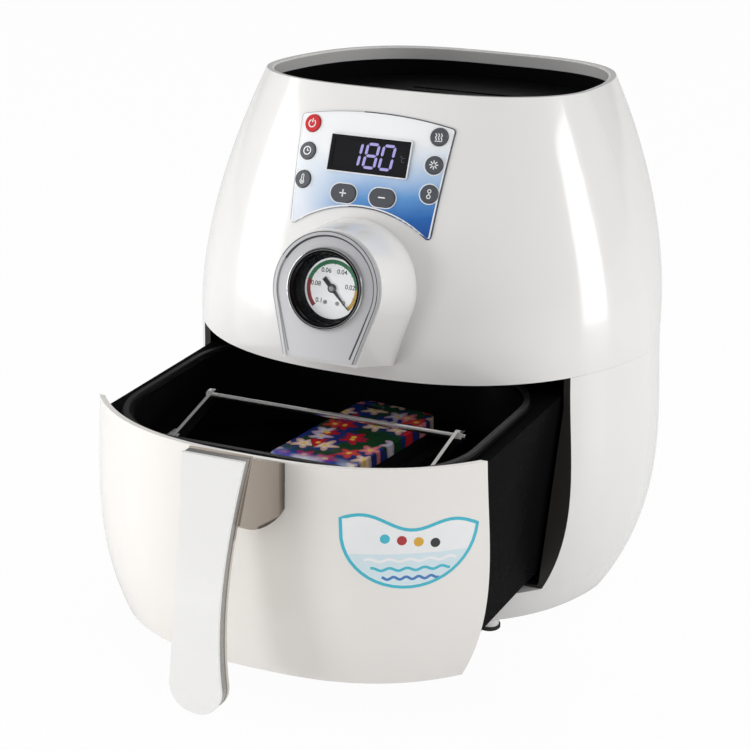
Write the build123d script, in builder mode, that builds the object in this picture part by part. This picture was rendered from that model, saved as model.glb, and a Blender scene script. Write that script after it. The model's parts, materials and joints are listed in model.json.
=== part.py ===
"""Table-top vacuum sublimation machine, drawn with its drawer pulled out.

Millimetres, +Z up. The origin lies on the floor, under the middle of the body.
The front faces -Y and the body is symmetric about the plane X = 0.
"""

import os
from math import acos, atan2, copysign, cos, degrees, hypot, radians, sin

from build123d import *

os.makedirs("parts", exist_ok=True)

# ---------------------------------------------------------------- driving sizes
# Levels of the body above the floor.
foot_height = 8.0
base_height = 26.0
lower_height = 160.0
top_front_height = 378.0
top_back_height = 362.5
rim_gap = 6.5

# Reach of the outer skin from the body's upright axis.
seam_half_width = 171.0
seam_front = 170.5
seam_back = 155.0
top_half_width = 117.0
top_front = 111.5
top_back = 101.0
bottom_half_width = 140.0
bottom_front = 152.0
bottom_back = 135.0
belly_bulge = 6.0
lean_power = 1.7

# The body is widest a little in front of its axis. Each pair of powers says how square the
# outline is across and along.
widest_y = -36.0
front_powers_low = (2.6, 1.7)
front_powers_top = (2.9, 1.95)
back_powers_low = (2.6, 1.5)
back_powers_top = (3.4, 2.3)

# Walls and clearances.
housing_wall = 3.5
insert_wall = 2.0
liner_wall = 1.5
tub_wall = 2.5
pan_wall = 1.5
seat_gap = 0.05
fit_gap = 0.3
bay_gap = 3.0

# The drawer bay.
bay_front = 114.5
bay_top_half = 139.0
bay_bottom_half = 121.5
bay_back = 60.0
cheek_depth = 10.0
sill_height = 2.0
drawer_out = 145.0

# The drawer.
tub_floor_height = 46.0
tub_flange_height = 180.0
tub_back_gap = 4.5
pan_half_width = 120.0
pan_front = 152.0
pan_back = 45.0
pan_corner = 60.0
pan_depth = 53.0
pan_rim_width = 6.0
seal_height = 2.5
seal_width = 3.6

# The handle: how far its face stands in front of the drawer's rim.
handle_top_height = 201.5
handle_tip_height = 41.0
handle_top_reach = 41.0
handle_mid_reach = 62.5
handle_low_reach = 71.0
handle_top_half = 21.6
handle_waist_half = 15.5
handle_foot_half = 17.8
handle_face_thick = 2.5
handle_band_thick = 6.5
handle_back_thick = 2.5
neck_half_width = 28.0
neck_low = 152.0

# The gauge and the silver plate round it.
gauge_height = 262.6
gauge_reach = 199.0
gauge_lean = 14.4
badge_radius = 38.0
badge_drop = 47.0
badge_low_half = 25.5
badge_thick = 2.0
badge_rim = 2.6
badge_rim_rise = 1.2
boss_margin = 1.6
boss_flare = 11.0
boss_depth = 62.0
gauge_radius = 26.0
gauge_wall = 2.0
gauge_depth = 30.0
bezel_radius = 27.4
bezel_rise = 2.4
dial_depth = 9.0
glass_depth = 3.0
glass_thick = 1.5

# The control overlay.
panel_low = 288.0
panel_high = 359.5
panel_low_half = 52.0
panel_high_half = 57.0
panel_top_arch = 5.0
panel_low_arch = 17.5
panel_corner = 3.0
panel_thick = 0.8
display_half_width = 30.0
display_low = 324.5
display_high = 348.5
display_frame = 2.0
display_rise = 0.8
button_radius = 6.0
button_column = 46.5
button_heights = (352.0, 334.7, 316.9)
key_height = 311.7
key_spread = 14.3
key_length = 18.5
key_width = 12.0
button_rise = 1.4
button_flange = 1.5
button_travel = 1.0
board_depth = 17.0
board_thick = 1.6
board_half_width = 54.0

# The top insert.
insert_floor = 338.0
insert_shelf = 362.0
insert_bowl_front = 72.0

# The bail across the pan.
bail_half = 91.0
bail_height = 171.0
bail_back = 46.0
bail_pivot_height = 158.0
bail_pivot_front = 100.0
bail_rod_radius = 2.0
bail_arm_thick = 2.5
bail_arm_width = 9.0
bail_screw_radius = 2.0
bracket_thick = 2.0

# The mould and the printed cover on it.
mould_turn = -7.0
mould_x = 14.0
mould_y = 43.0
mould_base_height = 8.0
mould_form_height = 20.0
cover_width = 61.0
cover_length = 122.0
cover_corner = 9.0
cover_height = 9.0
cover_wall = 1.6

# Inside the upper housing.
shield_half_width = 105.0
shield_half_depth = 64.0
shield_height = 50.0
shield_wall = 1.2
heater_radius = 3.2
fan_radius = 46.0
fan_height = 224.0
fan_shaft_radius = 3.0
shaft_gap = 0.05
motor_radius = 28.0
motor_height = 36.0
motor_floor = 252.0
deck_height = 262.0
deck_thick = 2.0
hose_radius = 3.5

# The terminal plate at the back.
plate_back = 139.0
plate_thick = 2.5
plate_half_width = 62.0
plate_low = 56.0
plate_high = 104.0

# Levels and places that follow.
base_seam = foot_height + base_height
seam = base_seam + lower_height
rim_height = seam - rim_gap
plate_middle = (plate_low + plate_high) / 2
pan_floor = tub_flange_height - pan_depth
tub_back = bay_back - tub_back_gap


# ---------------------------------------------------------------- the body's skin
def reach(height, at_seam, at_top, at_bottom):
    """Distance of the skin from the body's axis at a height, in one direction."""
    if height >= seam:
        rise = (height - seam) / (top_front_height - seam)
        return at_seam - (at_seam - at_top) * rise**lean_power
    fall = (seam - height) / (seam - foot_height)
    bulge = belly_bulge * 6.75 * fall**2 * (1 - fall)
    return at_seam + bulge - (at_seam - at_bottom) * fall**3


def half_width_at(height):
    """Half the body's width at a height."""
    return reach(height, seam_half_width, top_half_width, bottom_half_width)


def front_at(height):
    """The body's reach to the front at a height."""
    return reach(height, seam_front, top_front, bottom_front)


def back_at(height):
    """The body's reach to the back at a height."""
    return reach(height, seam_back, top_back, bottom_back)


def powers_at(height, back):
    """The outline's two powers at a height, for the back or the front."""
    low, top = (back_powers_low, back_powers_top) if back else (front_powers_low, front_powers_top)
    rise = max(0.0, (height - seam) / (top_front_height - seam))
    return [at_low + (at_top - at_low) * rise for at_low, at_top in zip(low, top)]


def outline_points(height, inset, shift):
    """Points round the body at a height, egg-shaped in plan."""
    half = half_width_at(height) - inset
    points = []
    for step in range(24):
        turn = radians(15 * step)
        side = cos(turn)
        along = sin(turn)
        across_power, along_power = powers_at(height, along > 0)
        depth = back_at(height) - widest_y if along > 0 else front_at(height) + widest_y
        x = copysign(abs(side) ** (2 / across_power), side) * half
        y = copysign(abs(along) ** (2 / along_power), along) * (depth - inset)
        points.append((x, widest_y + y + shift))
    return points


def skin_y(x, height, back=False):
    """Where the skin lies in Y at a place across and a height."""
    across_power, along_power = powers_at(height, back)
    across = abs(x) / half_width_at(height)
    depth = back_at(height) - widest_y if back else -front_at(height) - widest_y
    return widest_y + depth * (1 - across**across_power) ** (1 / along_power)


def skin_plane(x, height, lift=0.0, back=False):
    """A plane that lies on the skin, with its normal outward and its x axis level."""
    step = 0.5
    slope_x = (skin_y(x + step, height, back) - skin_y(x - step, height, back)) / (2 * step)
    slope_z = (skin_y(x, height + step, back) - skin_y(x, height - step, back)) / (2 * step)
    side = -1 if back else 1
    normal = Vector(slope_x * side, -side, slope_z * side).normalized()
    level = Vector(side, slope_x * side, 0).normalized()
    origin = Vector(x, skin_y(x, height, back), height) + normal * lift
    return Plane(origin=origin, x_dir=level, z_dir=normal)


def body_block(low, high, levels, inset=0.0, shift=0.0):
    """The body's outer form between two levels, drawn in by an inset."""
    with BuildPart() as block:
        for step in range(levels):
            height = low + (high - low) * step / (levels - 1)
            with BuildSketch(Plane.XY.offset(height)):
                with BuildLine():
                    Spline(outline_points(height, inset, shift), periodic=True)
                make_face()
        loft()
    return block.part


def box_between(x_range, y_range, z_range):
    """A plain box between two corners."""
    size = [high - low for low, high in (x_range, y_range, z_range)]
    middle = [(high + low) / 2 for low, high in (x_range, y_range, z_range)]
    return Pos(*middle) * Box(*size, mode=Mode.PRIVATE)


far = 400.0
top_tilt = degrees(atan2(top_front_height - top_back_height, top_front + top_back))
top_plane = Plane(origin=(0, -top_front, top_front_height), z_dir=(0, 0, 1)).rotated((-top_tilt, 0, 0))
inner_top = top_front_height + 14.0

# ---------------------------------------------------------------- gauge plate outline
gauge_plane = Plane(
    origin=(0, -gauge_reach, gauge_height),
    x_dir=(1, 0, 0),
    z_dir=(0, -cos(radians(gauge_lean)), sin(radians(gauge_lean))),
)


def teardrop(radius, low_half, drop):
    """A round head that narrows to a flat foot, as a sketch round its own origin."""
    foot_distance = hypot(low_half, drop)
    tangent_turn = -degrees(atan2(drop, low_half)) + degrees(acos(radius / foot_distance))
    tangent_x = radius * cos(radians(tangent_turn))
    tangent_y = radius * sin(radians(tangent_turn))
    with BuildSketch() as drop_sketch:
        with BuildLine():
            Line((-low_half, -drop), (low_half, -drop))
            Line((low_half, -drop), (tangent_x, tangent_y))
            ThreePointArc((tangent_x, tangent_y), (0, radius), (-tangent_x, tangent_y))
            Line((-tangent_x, tangent_y), (-low_half, -drop))
        make_face()
    return drop_sketch.sketch


def boss_block(margin):
    """The boss that carries the gauge, flaring out towards the body."""
    root_margin = margin + boss_flare
    with BuildPart() as boss:
        with BuildSketch(gauge_plane):
            add(teardrop(badge_radius + margin, badge_low_half + margin, badge_drop + margin))
        with BuildSketch(gauge_plane.offset(-boss_depth)):
            add(teardrop(badge_radius + root_margin, badge_low_half + root_margin, badge_drop + margin))
        loft(ruled=True)
    return boss.part


# ---------------------------------------------------------------- control places
panel_middle = (panel_low + panel_high) / 2
panel_plane = skin_plane(0, panel_middle)
panel_lean = cos(atan2(panel_plane.z_dir.Z, -panel_plane.z_dir.Y))


def on_panel(height):
    """Height above the floor turned into a distance up the panel's plane."""
    return (height - panel_middle) / panel_lean


def panel_outline():
    """The control overlay's outline: arched above, hollowed round the gauge below."""
    low = on_panel(panel_low)
    high = on_panel(panel_high)
    with BuildSketch() as outline:
        with BuildLine():
            Line((-panel_low_half, low), (-panel_high_half, high))
            ThreePointArc((-panel_high_half, high), (0, high + panel_top_arch), (panel_high_half, high))
            Line((panel_high_half, high), (panel_low_half, low))
            ThreePointArc((panel_low_half, low), (0, low + panel_low_arch), (-panel_low_half, low))
        make_face()
        fillet(outline.vertices(), panel_corner)
    return outline.sketch


button_places = {
    "power": (-button_column, button_heights[0]),
    "time": (-button_column, button_heights[1]),
    "temperature": (-button_column, button_heights[2]),
    "heat": (button_column, button_heights[0]),
    "vacuum": (button_column, button_heights[1]),
    "timer": (button_column, button_heights[2]),
    "plus": (-key_spread, key_height),
    "minus": (key_spread, key_height),
}


def button_sketch(name, grow=0.0):
    """A button's outline, round or oblong, grown by a margin."""
    with BuildSketch() as sketch:
        if name in ("plus", "minus"):
            SlotOverall(key_length + 2 * grow, key_width + 2 * grow)
        else:
            Circle(button_radius + grow)
    return sketch.sketch


# ---------------------------------------------------------------- upper housing
post_places = [(-30.0, 311.0), (30.0, 311.0), (-20.0, 354.0), (20.0, 354.0)]
post_radius = 3.0
skin_levels = 6
hole_depth = 14.0
vent_height = 300.0
vent_width = 96.0
vent_tall = 36.0
vent_lap = 5.0
vent_slots = 5
vent_slot_width = 4.0
window_low = on_panel(display_low)
window_high = on_panel(display_high)
window_middle = (window_low + window_high) / 2
window_height = window_high - window_low
vent_plane = skin_plane(0, vent_height, back=True)

with BuildPart() as upper_housing:
    add(body_block(seam + seat_gap, inner_top, skin_levels))
    add(boss_block(boss_margin))
    add(body_block(seam - 1, inner_top + 2, skin_levels, inset=housing_wall), mode=Mode.SUBTRACT)
    # The boss is hollow behind its front wall, with a hole for the gauge.
    with BuildSketch(gauge_plane.offset(-housing_wall)):
        add(teardrop(badge_radius - 1, badge_low_half - 2, badge_drop - 2))
    extrude(amount=-boss_depth, mode=Mode.SUBTRACT)
    with BuildSketch(panel_plane.offset(-board_depth + seat_gap)):
        with Locations([(x, on_panel(height)) for x, height in post_places]):
            Circle(post_radius)
    extrude(amount=board_depth - 2)
    # Holes for the gauge, the display, the buttons and the vent, cut together.
    with BuildSketch(gauge_plane.offset(1)):
        Circle(gauge_radius + fit_gap)
    with BuildSketch(panel_plane.offset(1)):
        with Locations((0, window_middle)):
            Rectangle(2 * (display_half_width - display_frame + fit_gap), window_height - 3)
    for name, (x, height) in button_places.items():
        with BuildSketch(skin_plane(x, height, 1)):
            add(button_sketch(name, fit_gap))
    with BuildSketch(vent_plane.offset(2)):
        RectangleRounded(vent_width, vent_tall, vent_lap)
    extrude(amount=-hole_depth, mode=Mode.SUBTRACT)
    split(bisect_by=top_plane, keep=Keep.BOTTOM)

upper_housing.part.label = "upper_housing"
export_step(upper_housing.part, "parts/upper_housing.step")


# ---------------------------------------------------------------- drawer bay sizes
def opening_half(height):
    """Half the width of the drawer opening, which narrows downward."""
    rise = (height - base_seam) / lower_height
    return bay_bottom_half + (bay_top_half - bay_bottom_half) * rise


def bay_block(low, high, front, back, gap=0.0):
    """A tapered block as wide as the drawer opening, less a gap on each side."""
    with BuildPart() as block:
        for height in (low, high):
            with BuildSketch(Plane.XY.offset(height)):
                with Locations((0, (front + back) / 2)):
                    Rectangle(2 * (opening_half(height) - gap), back - front)
        loft(ruled=True)
    return block.part


sill_top = base_seam + sill_height
cheek_back = -bay_front + cheek_depth


def cheek_frame():
    """The end faces beside the drawer opening, with the sill below it."""
    with BuildPart() as frame:
        add(body_block(base_seam + seat_gap, seam - seat_gap, skin_levels))
        add(box_between((-far, far), (-bay_front, cheek_back), (0, far)), mode=Mode.INTERSECT)
        add(bay_block(sill_top, seam + 1, -far, far), mode=Mode.SUBTRACT)
    return frame.part


# ---------------------------------------------------------------- lower housing
with BuildPart() as lower_housing:
    add(body_block(base_seam + seat_gap, seam - seat_gap, skin_levels))
    add(body_block(base_seam - 1, seam + 1, skin_levels, inset=housing_wall), mode=Mode.SUBTRACT)
    add(box_between((-far, far), (-far, -bay_front), (0, far)), mode=Mode.SUBTRACT)
    # The cut-out behind the terminal plate.
    cut_half = plate_half_width - 5
    add(
        box_between((-cut_half, cut_half), (plate_back - 12, far), (plate_low + 5, plate_high - 5)),
        mode=Mode.SUBTRACT,
    )
    add(cheek_frame())

lower_housing.part.label = "lower_housing"
export_step(lower_housing.part, "parts/lower_housing.step")

# ---------------------------------------------------------------- base pan and feet
base_floor = 3.0
foot_x = 88.0
foot_front = 121.0
foot_back = 75.0
foot_radius = 7.0
pad_radius = 8.0
pad_height = 3.0
base_screw_x = 62.0
base_screw_y = 88.0
screw_radius = 1.8
screw_head_radius = 4.0
screw_head_height = 2.2
screw_gap = 0.05
foot_places = [(x, y) for x in (-foot_x, foot_x) for y in (-foot_front, foot_back)]
base_screw_places = [(x, y) for x in (-base_screw_x, base_screw_x) for y in (-base_screw_y, base_screw_y)]
shelf_bottom = base_seam - base_floor

with BuildPart() as base_pan:
    add(body_block(foot_height, base_seam, 4))
    fillet(edges().group_by(Axis.Z)[0], 2.5)
    # The four feet are moulded with the pan.
    with BuildSketch(Plane.XY.offset(pad_height + seat_gap)):
        with Locations(foot_places):
            Circle(foot_radius)
    extrude(amount=foot_height - pad_height)
    add(body_block(foot_height + base_floor, shelf_bottom, 4, inset=housing_wall), mode=Mode.SUBTRACT)
    # The pan is open above, behind the ledge in front of the drawer bay.
    add(
        body_block(shelf_bottom - 1, base_seam + 1, 3, inset=housing_wall)
        - box_between((-far, far), (-far, cheek_back), (0, far)),
        mode=Mode.SUBTRACT,
    )
    with BuildSketch(Plane.XY.offset(foot_height - 1)):
        with Locations(base_screw_places):
            Circle(screw_radius + screw_gap)
    extrude(amount=base_floor + 2, mode=Mode.SUBTRACT)

base_pan.part.label = "base_pan"
export_step(base_pan.part, "parts/base_pan.step")

with BuildPart() as foot_pads:
    with BuildSketch():
        with Locations(foot_places):
            Circle(pad_radius)
    extrude(amount=pad_height)
    chamfer(foot_pads.edges().group_by(Axis.Z)[0], 0.6)

foot_pads.part.label = "foot_pads"
export_step(foot_pads.part, "parts/foot_pads.step")

with BuildPart() as base_screws:
    with BuildSketch(Plane.XY.offset(foot_height - screw_head_height)):
        with Locations(base_screw_places):
            Circle(screw_head_radius)
    extrude(amount=screw_head_height)
    with BuildSketch(Plane.XY.offset(foot_height)):
        with Locations(base_screw_places):
            Circle(screw_radius)
    extrude(amount=12)

base_screws.part.label = "base_screws"
export_step(base_screws.part, "parts/base_screws.step")

# ---------------------------------------------------------------- top insert
insert_slots = 7
insert_slot_pitch = 12.0
insert_slot_length = 110.0
insert_slot_width = 4.5
insert_bowl_y = (back_at(insert_floor) - insert_bowl_front) / 2

with BuildPart() as top_insert:
    add(body_block(insert_floor, inner_top, 4, inset=housing_wall + seat_gap))
    add(
        box_between((-far, far), (-far, -insert_bowl_front), (0, insert_shelf)),
        mode=Mode.SUBTRACT,
    )
    # The deep bowl, then the shallow shelf in front of it.
    inner = body_block(insert_floor + insert_wall, inner_top + 2, 4, inset=housing_wall + insert_wall)
    shelf_back = -insert_bowl_front + insert_wall
    shelf = box_between((-far, far), (-far, shelf_back), (0, insert_shelf + insert_wall))
    add(inner - shelf, mode=Mode.SUBTRACT)
    with BuildSketch(Plane.XY.offset(insert_floor - 1)):
        with Locations((0, insert_bowl_y)):
            with GridLocations(0, insert_slot_pitch, 1, insert_slots):
                SlotOverall(insert_slot_length, insert_slot_width)
    extrude(amount=insert_wall + 2, mode=Mode.SUBTRACT)
    split(bisect_by=top_plane.offset(-1), keep=Keep.BOTTOM)

top_insert.part.label = "top_insert"
export_step(top_insert.part, "parts/top_insert.step")


# ---------------------------------------------------------------- pieces that lie on the skin
def skin_patch(outline, plane, depth, lift, thick):
    """A thin sheet that follows the upper housing, cut to an outline on a plane."""
    with BuildPart() as patch:
        add(body_block(seam + seat_gap, inner_top, skin_levels, inset=-lift - thick))
        with BuildSketch(plane):
            add(outline)
        extrude(amount=depth, both=True, mode=Mode.INTERSECT)
        add(
            body_block(seam - 1, inner_top + 2, skin_levels, inset=-lift),
            mode=Mode.SUBTRACT,
        )
    return patch.part


with BuildPart() as control_panel:
    add(skin_patch(panel_outline(), panel_plane, 14, seat_gap, panel_thick))
    with BuildSketch(panel_plane.offset(4)):
        with Locations((0, window_middle)):
            Rectangle(2 * (display_half_width - display_frame + fit_gap), window_height - 3)
    for name, (x, height) in button_places.items():
        with BuildSketch(skin_plane(x, height, 4)):
            add(button_sketch(name, fit_gap))
    extrude(amount=-8, mode=Mode.SUBTRACT)

control_panel.part.label = "control_panel"
export_step(control_panel.part, "parts/control_panel.step")

with BuildSketch() as vent_outline:
    RectangleRounded(vent_width + 2 * vent_lap, vent_tall + 2 * vent_lap, 2 * vent_lap)

with BuildPart() as rear_vent:
    add(skin_patch(vent_outline.sketch, vent_plane, 14, seat_gap, 2.0))
    with BuildSketch(vent_plane.offset(4)):
        with GridLocations(0, 2 * vent_slot_width - 1, 1, vent_slots):
            SlotOverall(vent_width - 4, vent_slot_width)
    extrude(amount=-12, mode=Mode.SUBTRACT)

rear_vent.part.label = "rear_vent"
export_step(rear_vent.part, "parts/rear_vent.step")

# ---------------------------------------------------------------- display
display_size = (2 * display_half_width, window_height)
skirt_size = (2 * (display_half_width - display_frame), window_height - 3 - 2 * fit_gap)
pane_size = (skirt_size[0] - 3, skirt_size[1] - 3)
module_size = (pane_size[0] - 2 * fit_gap, pane_size[1] - 2 * fit_gap)

with BuildPart() as display_frame_part:
    with BuildSketch(panel_plane.offset(panel_thick + 2 * seat_gap)):
        with Locations((0, window_middle)):
            RectangleRounded(*display_size, 2)
            Rectangle(*pane_size, mode=Mode.SUBTRACT)
    extrude(amount=display_rise)
    with BuildSketch(panel_plane.offset(panel_thick + 2 * seat_gap)):
        with Locations((0, window_middle)):
            Rectangle(*skirt_size)
            Rectangle(*pane_size, mode=Mode.SUBTRACT)
    extrude(amount=-6)

display_frame_part.part.label = "display_bezel"
export_step(display_frame_part.part, "parts/display_bezel.step")

with BuildPart() as display_window:
    with BuildSketch(panel_plane):
        with Locations((0, window_middle)):
            Rectangle(pane_size[0] - 0.1, pane_size[1] - 0.1)
    extrude(amount=panel_thick + 0.4)

display_window.part.label = "display_window"
export_step(display_window.part, "parts/display_window.step")

with BuildPart() as display_module:
    with BuildSketch(panel_plane.offset(-board_depth)):
        with Locations((0, window_middle)):
            Rectangle(*module_size)
    extrude(amount=board_depth - fit_gap)

display_module.part.label = "display_module"
export_step(display_module.part, "parts/display_module.step")

# ---------------------------------------------------------------- buttons
flange_top = -housing_wall - 0.4
button_rear = flange_top - button_flange
button_front = panel_thick + button_rise
flange_lap = 1.0

for name, (x, height) in button_places.items():
    rear = skin_plane(x, height, button_rear)
    with BuildPart() as button:
        with BuildSketch(rear):
            add(button_sketch(name))
        extrude(amount=button_front - button_rear)
        chamfer(button.faces().sort_by(Axis((0, 0, 0), rear.z_dir))[-1].edges(), 0.4)
        with BuildSketch(rear):
            add(button_sketch(name, flange_lap))
        extrude(amount=button_flange)
    button.part.label = f"button_{name}"
    export_step(button.part, f"parts/button_{name}.step")

# ---------------------------------------------------------------- control board
board_low = panel_low + 6
board_high = panel_high - 3
board_middle = on_panel((board_low + board_high) / 2)
board_height = on_panel(board_high) - on_panel(board_low)
switch_radius = 2.5

with BuildPart() as control_board:
    with BuildSketch(panel_plane.offset(-board_depth)):
        with Locations((0, board_middle)):
            Rectangle(2 * board_half_width, board_height)
    extrude(amount=-board_thick)
    # A switch stands behind each button, just beyond its travel.
    for name, (x, height) in button_places.items():
        rear_point = skin_plane(x, height, button_rear).origin
        depth = (panel_plane.origin - rear_point).dot(panel_plane.z_dir)
        local = panel_plane.to_local_coords(rear_point)
        with BuildSketch(panel_plane.offset(-board_depth)):
            with Locations((local.X, local.Y)):
                Circle(switch_radius)
        extrude(amount=board_depth - depth - button_travel - 2 * fit_gap)
    with BuildSketch(panel_plane.offset(-board_depth - board_thick)):
        with Locations((-20, board_middle), (20, board_middle)):
            Rectangle(14, 14)
    extrude(amount=-3)

control_board.part.label = "control_board"
export_step(control_board.part, "parts/control_board.step")

# ---------------------------------------------------------------- gauge
plate_front = badge_thick + seat_gap
dial_radius = gauge_radius - gauge_wall - 0.05
needle_length = 18.5
needle_tail = 9.0
needle_turn = -45.0
needle_thick = 0.8
needle_depth = dial_depth - 0.7
hub_radius = 3.0
pin_radius = 0.8
fitting_length = 12.0

with BuildPart() as gauge_badge:
    with BuildSketch(gauge_plane.offset(seat_gap)):
        add(teardrop(badge_radius, badge_low_half, badge_drop))
        Circle(gauge_radius + fit_gap, mode=Mode.SUBTRACT)
    extrude(amount=badge_thick)
    with BuildSketch(gauge_plane.offset(plate_front)):
        add(teardrop(badge_radius, badge_low_half, badge_drop))
        add(
            teardrop(badge_radius - badge_rim, badge_low_half - badge_rim, badge_drop + 1),
            mode=Mode.SUBTRACT,
        )
    extrude(amount=badge_rim_rise)

gauge_badge.part.label = "gauge_badge"
export_step(gauge_badge.part, "parts/gauge_badge.step")

with BuildPart() as gauge_case:
    with BuildSketch(gauge_plane.offset(plate_front)):
        Circle(gauge_radius)
    extrude(amount=-gauge_depth - plate_front)
    with BuildSketch(gauge_plane.offset(plate_front)):
        Circle(gauge_radius - gauge_wall)
    extrude(amount=-plate_front - dial_depth - 1, mode=Mode.SUBTRACT)
    with BuildSketch(gauge_plane.offset(-dial_depth - 1)):
        Circle(gauge_radius - 2 * gauge_wall)
    extrude(amount=-gauge_depth + dial_depth + 1 + gauge_wall, mode=Mode.SUBTRACT)

gauge_case.part.label = "gauge_case"
export_step(gauge_case.part, "parts/gauge_case.step")

with BuildPart() as gauge_bezel:
    with BuildSketch(gauge_plane.offset(plate_front + seat_gap)):
        Circle(bezel_radius)
        Circle(gauge_radius - gauge_wall - 0.4, mode=Mode.SUBTRACT)
    extrude(amount=bezel_rise)
    fillet(gauge_bezel.edges().sort_by(Axis((0, 0, 0), gauge_plane.z_dir))[-2:], 0.8)

gauge_bezel.part.label = "gauge_bezel"
export_step(gauge_bezel.part, "parts/gauge_bezel.step")

with BuildPart() as gauge_glass:
    with BuildSketch(gauge_plane.offset(-glass_depth)):
        Circle(dial_radius)
    extrude(amount=-glass_thick)

gauge_glass.part.label = "gauge_glass"
export_step(gauge_glass.part, "parts/gauge_glass.step")

with BuildPart() as gauge_dial:
    with BuildSketch(gauge_plane.offset(-dial_depth)):
        Circle(dial_radius)
    extrude(amount=-1 + seat_gap)
    with BuildSketch(gauge_plane.offset(-dial_depth)):
        Circle(pin_radius)
    extrude(amount=1.6)

gauge_dial.part.label = "gauge_dial"
export_step(gauge_dial.part, "parts/gauge_dial.step")

needle_plane = gauge_plane.offset(-needle_depth)
needle_dir = Vector(cos(radians(needle_turn)), sin(radians(needle_turn)))
needle_side = Vector(-needle_dir.Y, needle_dir.X)

with BuildPart() as gauge_needle:
    with BuildSketch(needle_plane):
        with BuildLine():
            tip = needle_dir * needle_length
            tail = needle_dir * -needle_tail
            Polyline(
                tip,
                needle_side * 1.3,
                tail + needle_side * 1.5,
                tail - needle_side * 1.5,
                needle_side * -1.3,
                close=True,
            )
        make_face()
        Circle(hub_radius)
    extrude(amount=needle_thick)
    with BuildSketch(needle_plane.offset(-0.2)):
        Circle(pin_radius + shaft_gap)
    extrude(amount=needle_thick + 0.4, mode=Mode.SUBTRACT)

gauge_needle.part.label = "gauge_needle"
export_step(gauge_needle.part, "parts/gauge_needle.step")

with BuildPart() as gauge_fitting:
    fitting_plane = gauge_plane.offset(-gauge_depth - seat_gap)
    with BuildSketch(fitting_plane):
        RegularPolygon(6.5, 6)
    extrude(amount=-4)
    with BuildSketch(fitting_plane.offset(-4)):
        Circle(hose_radius - 1.2)
    extrude(amount=-fitting_length + 4)

gauge_fitting.part.label = "gauge_fitting"
export_step(gauge_fitting.part, "parts/gauge_fitting.step")

# ---------------------------------------------------------------- bay liner and rails
liner_top = seam - 3.8
liner_front = cheek_back + 2.0
liner_floor = sill_top + liner_wall
rail_x = 78.0
rail_width = 14.0
rail_height = tub_floor_height - liner_floor - fit_gap

with BuildPart() as bay_liner:
    add(bay_block(sill_top + seat_gap, liner_top, liner_front, bay_back + liner_wall, -liner_wall))
    add(bay_block(liner_floor, liner_top + 1, liner_front - 1, bay_back), mode=Mode.SUBTRACT)

bay_liner.part.label = "bay_liner"
export_step(bay_liner.part, "parts/bay_liner.step")

with BuildPart() as drawer_rails:
    with BuildSketch(Plane.XY.offset(liner_floor + seat_gap)):
        with Locations([(x, (liner_front + bay_back) / 2) for x in (-rail_x, rail_x)]):
            Rectangle(rail_width, bay_back - liner_front - 1)
    extrude(amount=rail_height - seat_gap)

drawer_rails.part.label = "drawer_rails"
export_step(drawer_rails.part, "parts/drawer_rails.step")

# ---------------------------------------------------------------- drawer front
drawer_low = sill_top + 0.5
drawer_edge = -bay_front - 0.5 - drawer_out
neck_screw_height = 176.0
neck_screw_x = 12.0
handle_screw_head = 3.0
rim_front = front_at(rim_height) + drawer_out

with BuildPart() as drawer_front:
    add(body_block(drawer_low, rim_height, skin_levels, shift=-drawer_out))
    add(box_between((-far, far), (-far, drawer_edge), (0, far)), mode=Mode.INTERSECT)
    add(
        body_block(drawer_low + housing_wall, rim_height + 1, skin_levels, housing_wall, -drawer_out),
        mode=Mode.SUBTRACT,
    )
    with BuildSketch(Plane.XZ.offset(rim_front + 5)):
        with Locations((-neck_screw_x, neck_screw_height), (neck_screw_x, neck_screw_height)):
            Circle(screw_radius + screw_gap)
    extrude(amount=-20, mode=Mode.SUBTRACT)

drawer_front.part.label = "drawer_front"
export_step(drawer_front.part, "parts/drawer_front.step")


# ---------------------------------------------------------------- drawer tub
def pan_outline(grow, height):
    """The pan's rounded outline seen from above, grown by a margin."""
    middle = (pan_back - pan_front) / 2 - drawer_out
    with BuildSketch(Plane.XY.offset(height)) as outline:
        with Locations((0, middle)):
            RectangleRounded(
                2 * (pan_half_width + grow),
                pan_front + pan_back + 2 * grow,
                pan_corner + grow,
            )
    return outline.sketch


def tub_form(low, high, wall):
    """The drawer's black body: round behind its front, straight-sided behind that."""
    shoulder = drawer_edge + fit_gap + wall
    with BuildPart() as form:
        add(body_block(low, high, 5, housing_wall + 0.5 + wall, -drawer_out))
        add(box_between((-far, far), (-far, shoulder), (0, far)), mode=Mode.INTERSECT)
        add(bay_block(low, high, shoulder - 1, tub_back - drawer_out - wall, bay_gap + wall))
    return form.part


with BuildPart() as drawer_tub:
    add(tub_form(tub_floor_height, tub_flange_height, 0))
    add(
        tub_form(tub_floor_height + tub_wall, tub_flange_height - tub_wall, tub_wall),
        mode=Mode.SUBTRACT,
    )
    extrude(pan_outline(0.5, tub_flange_height - 2 * tub_wall), amount=3 * tub_wall, mode=Mode.SUBTRACT)
    # Room for the heads of the handle's screws.
    with BuildSketch(Plane.XZ.offset(rim_front)):
        with Locations((-neck_screw_x, neck_screw_height), (neck_screw_x, neck_screw_height)):
            Circle(handle_screw_head + 1)
    extrude(amount=-14, mode=Mode.SUBTRACT)

drawer_tub.part.label = "drawer_tub"
export_step(drawer_tub.part, "parts/drawer_tub.step")

catch_spread = 13.0
catch_size = (9.0, 4.5, 5.0)

with BuildPart() as rim_catches:
    with BuildSketch(Plane.XY.offset(tub_flange_height + seat_gap)):
        with Locations([(x, -rim_front + housing_wall + 4) for x in (-catch_spread, catch_spread)]):
            RectangleRounded(catch_size[0], catch_size[1], 1)
    extrude(amount=catch_size[2])

rim_catches.part.label = "rim_catches"
export_step(rim_catches.part, "parts/rim_catches.step")

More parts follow.
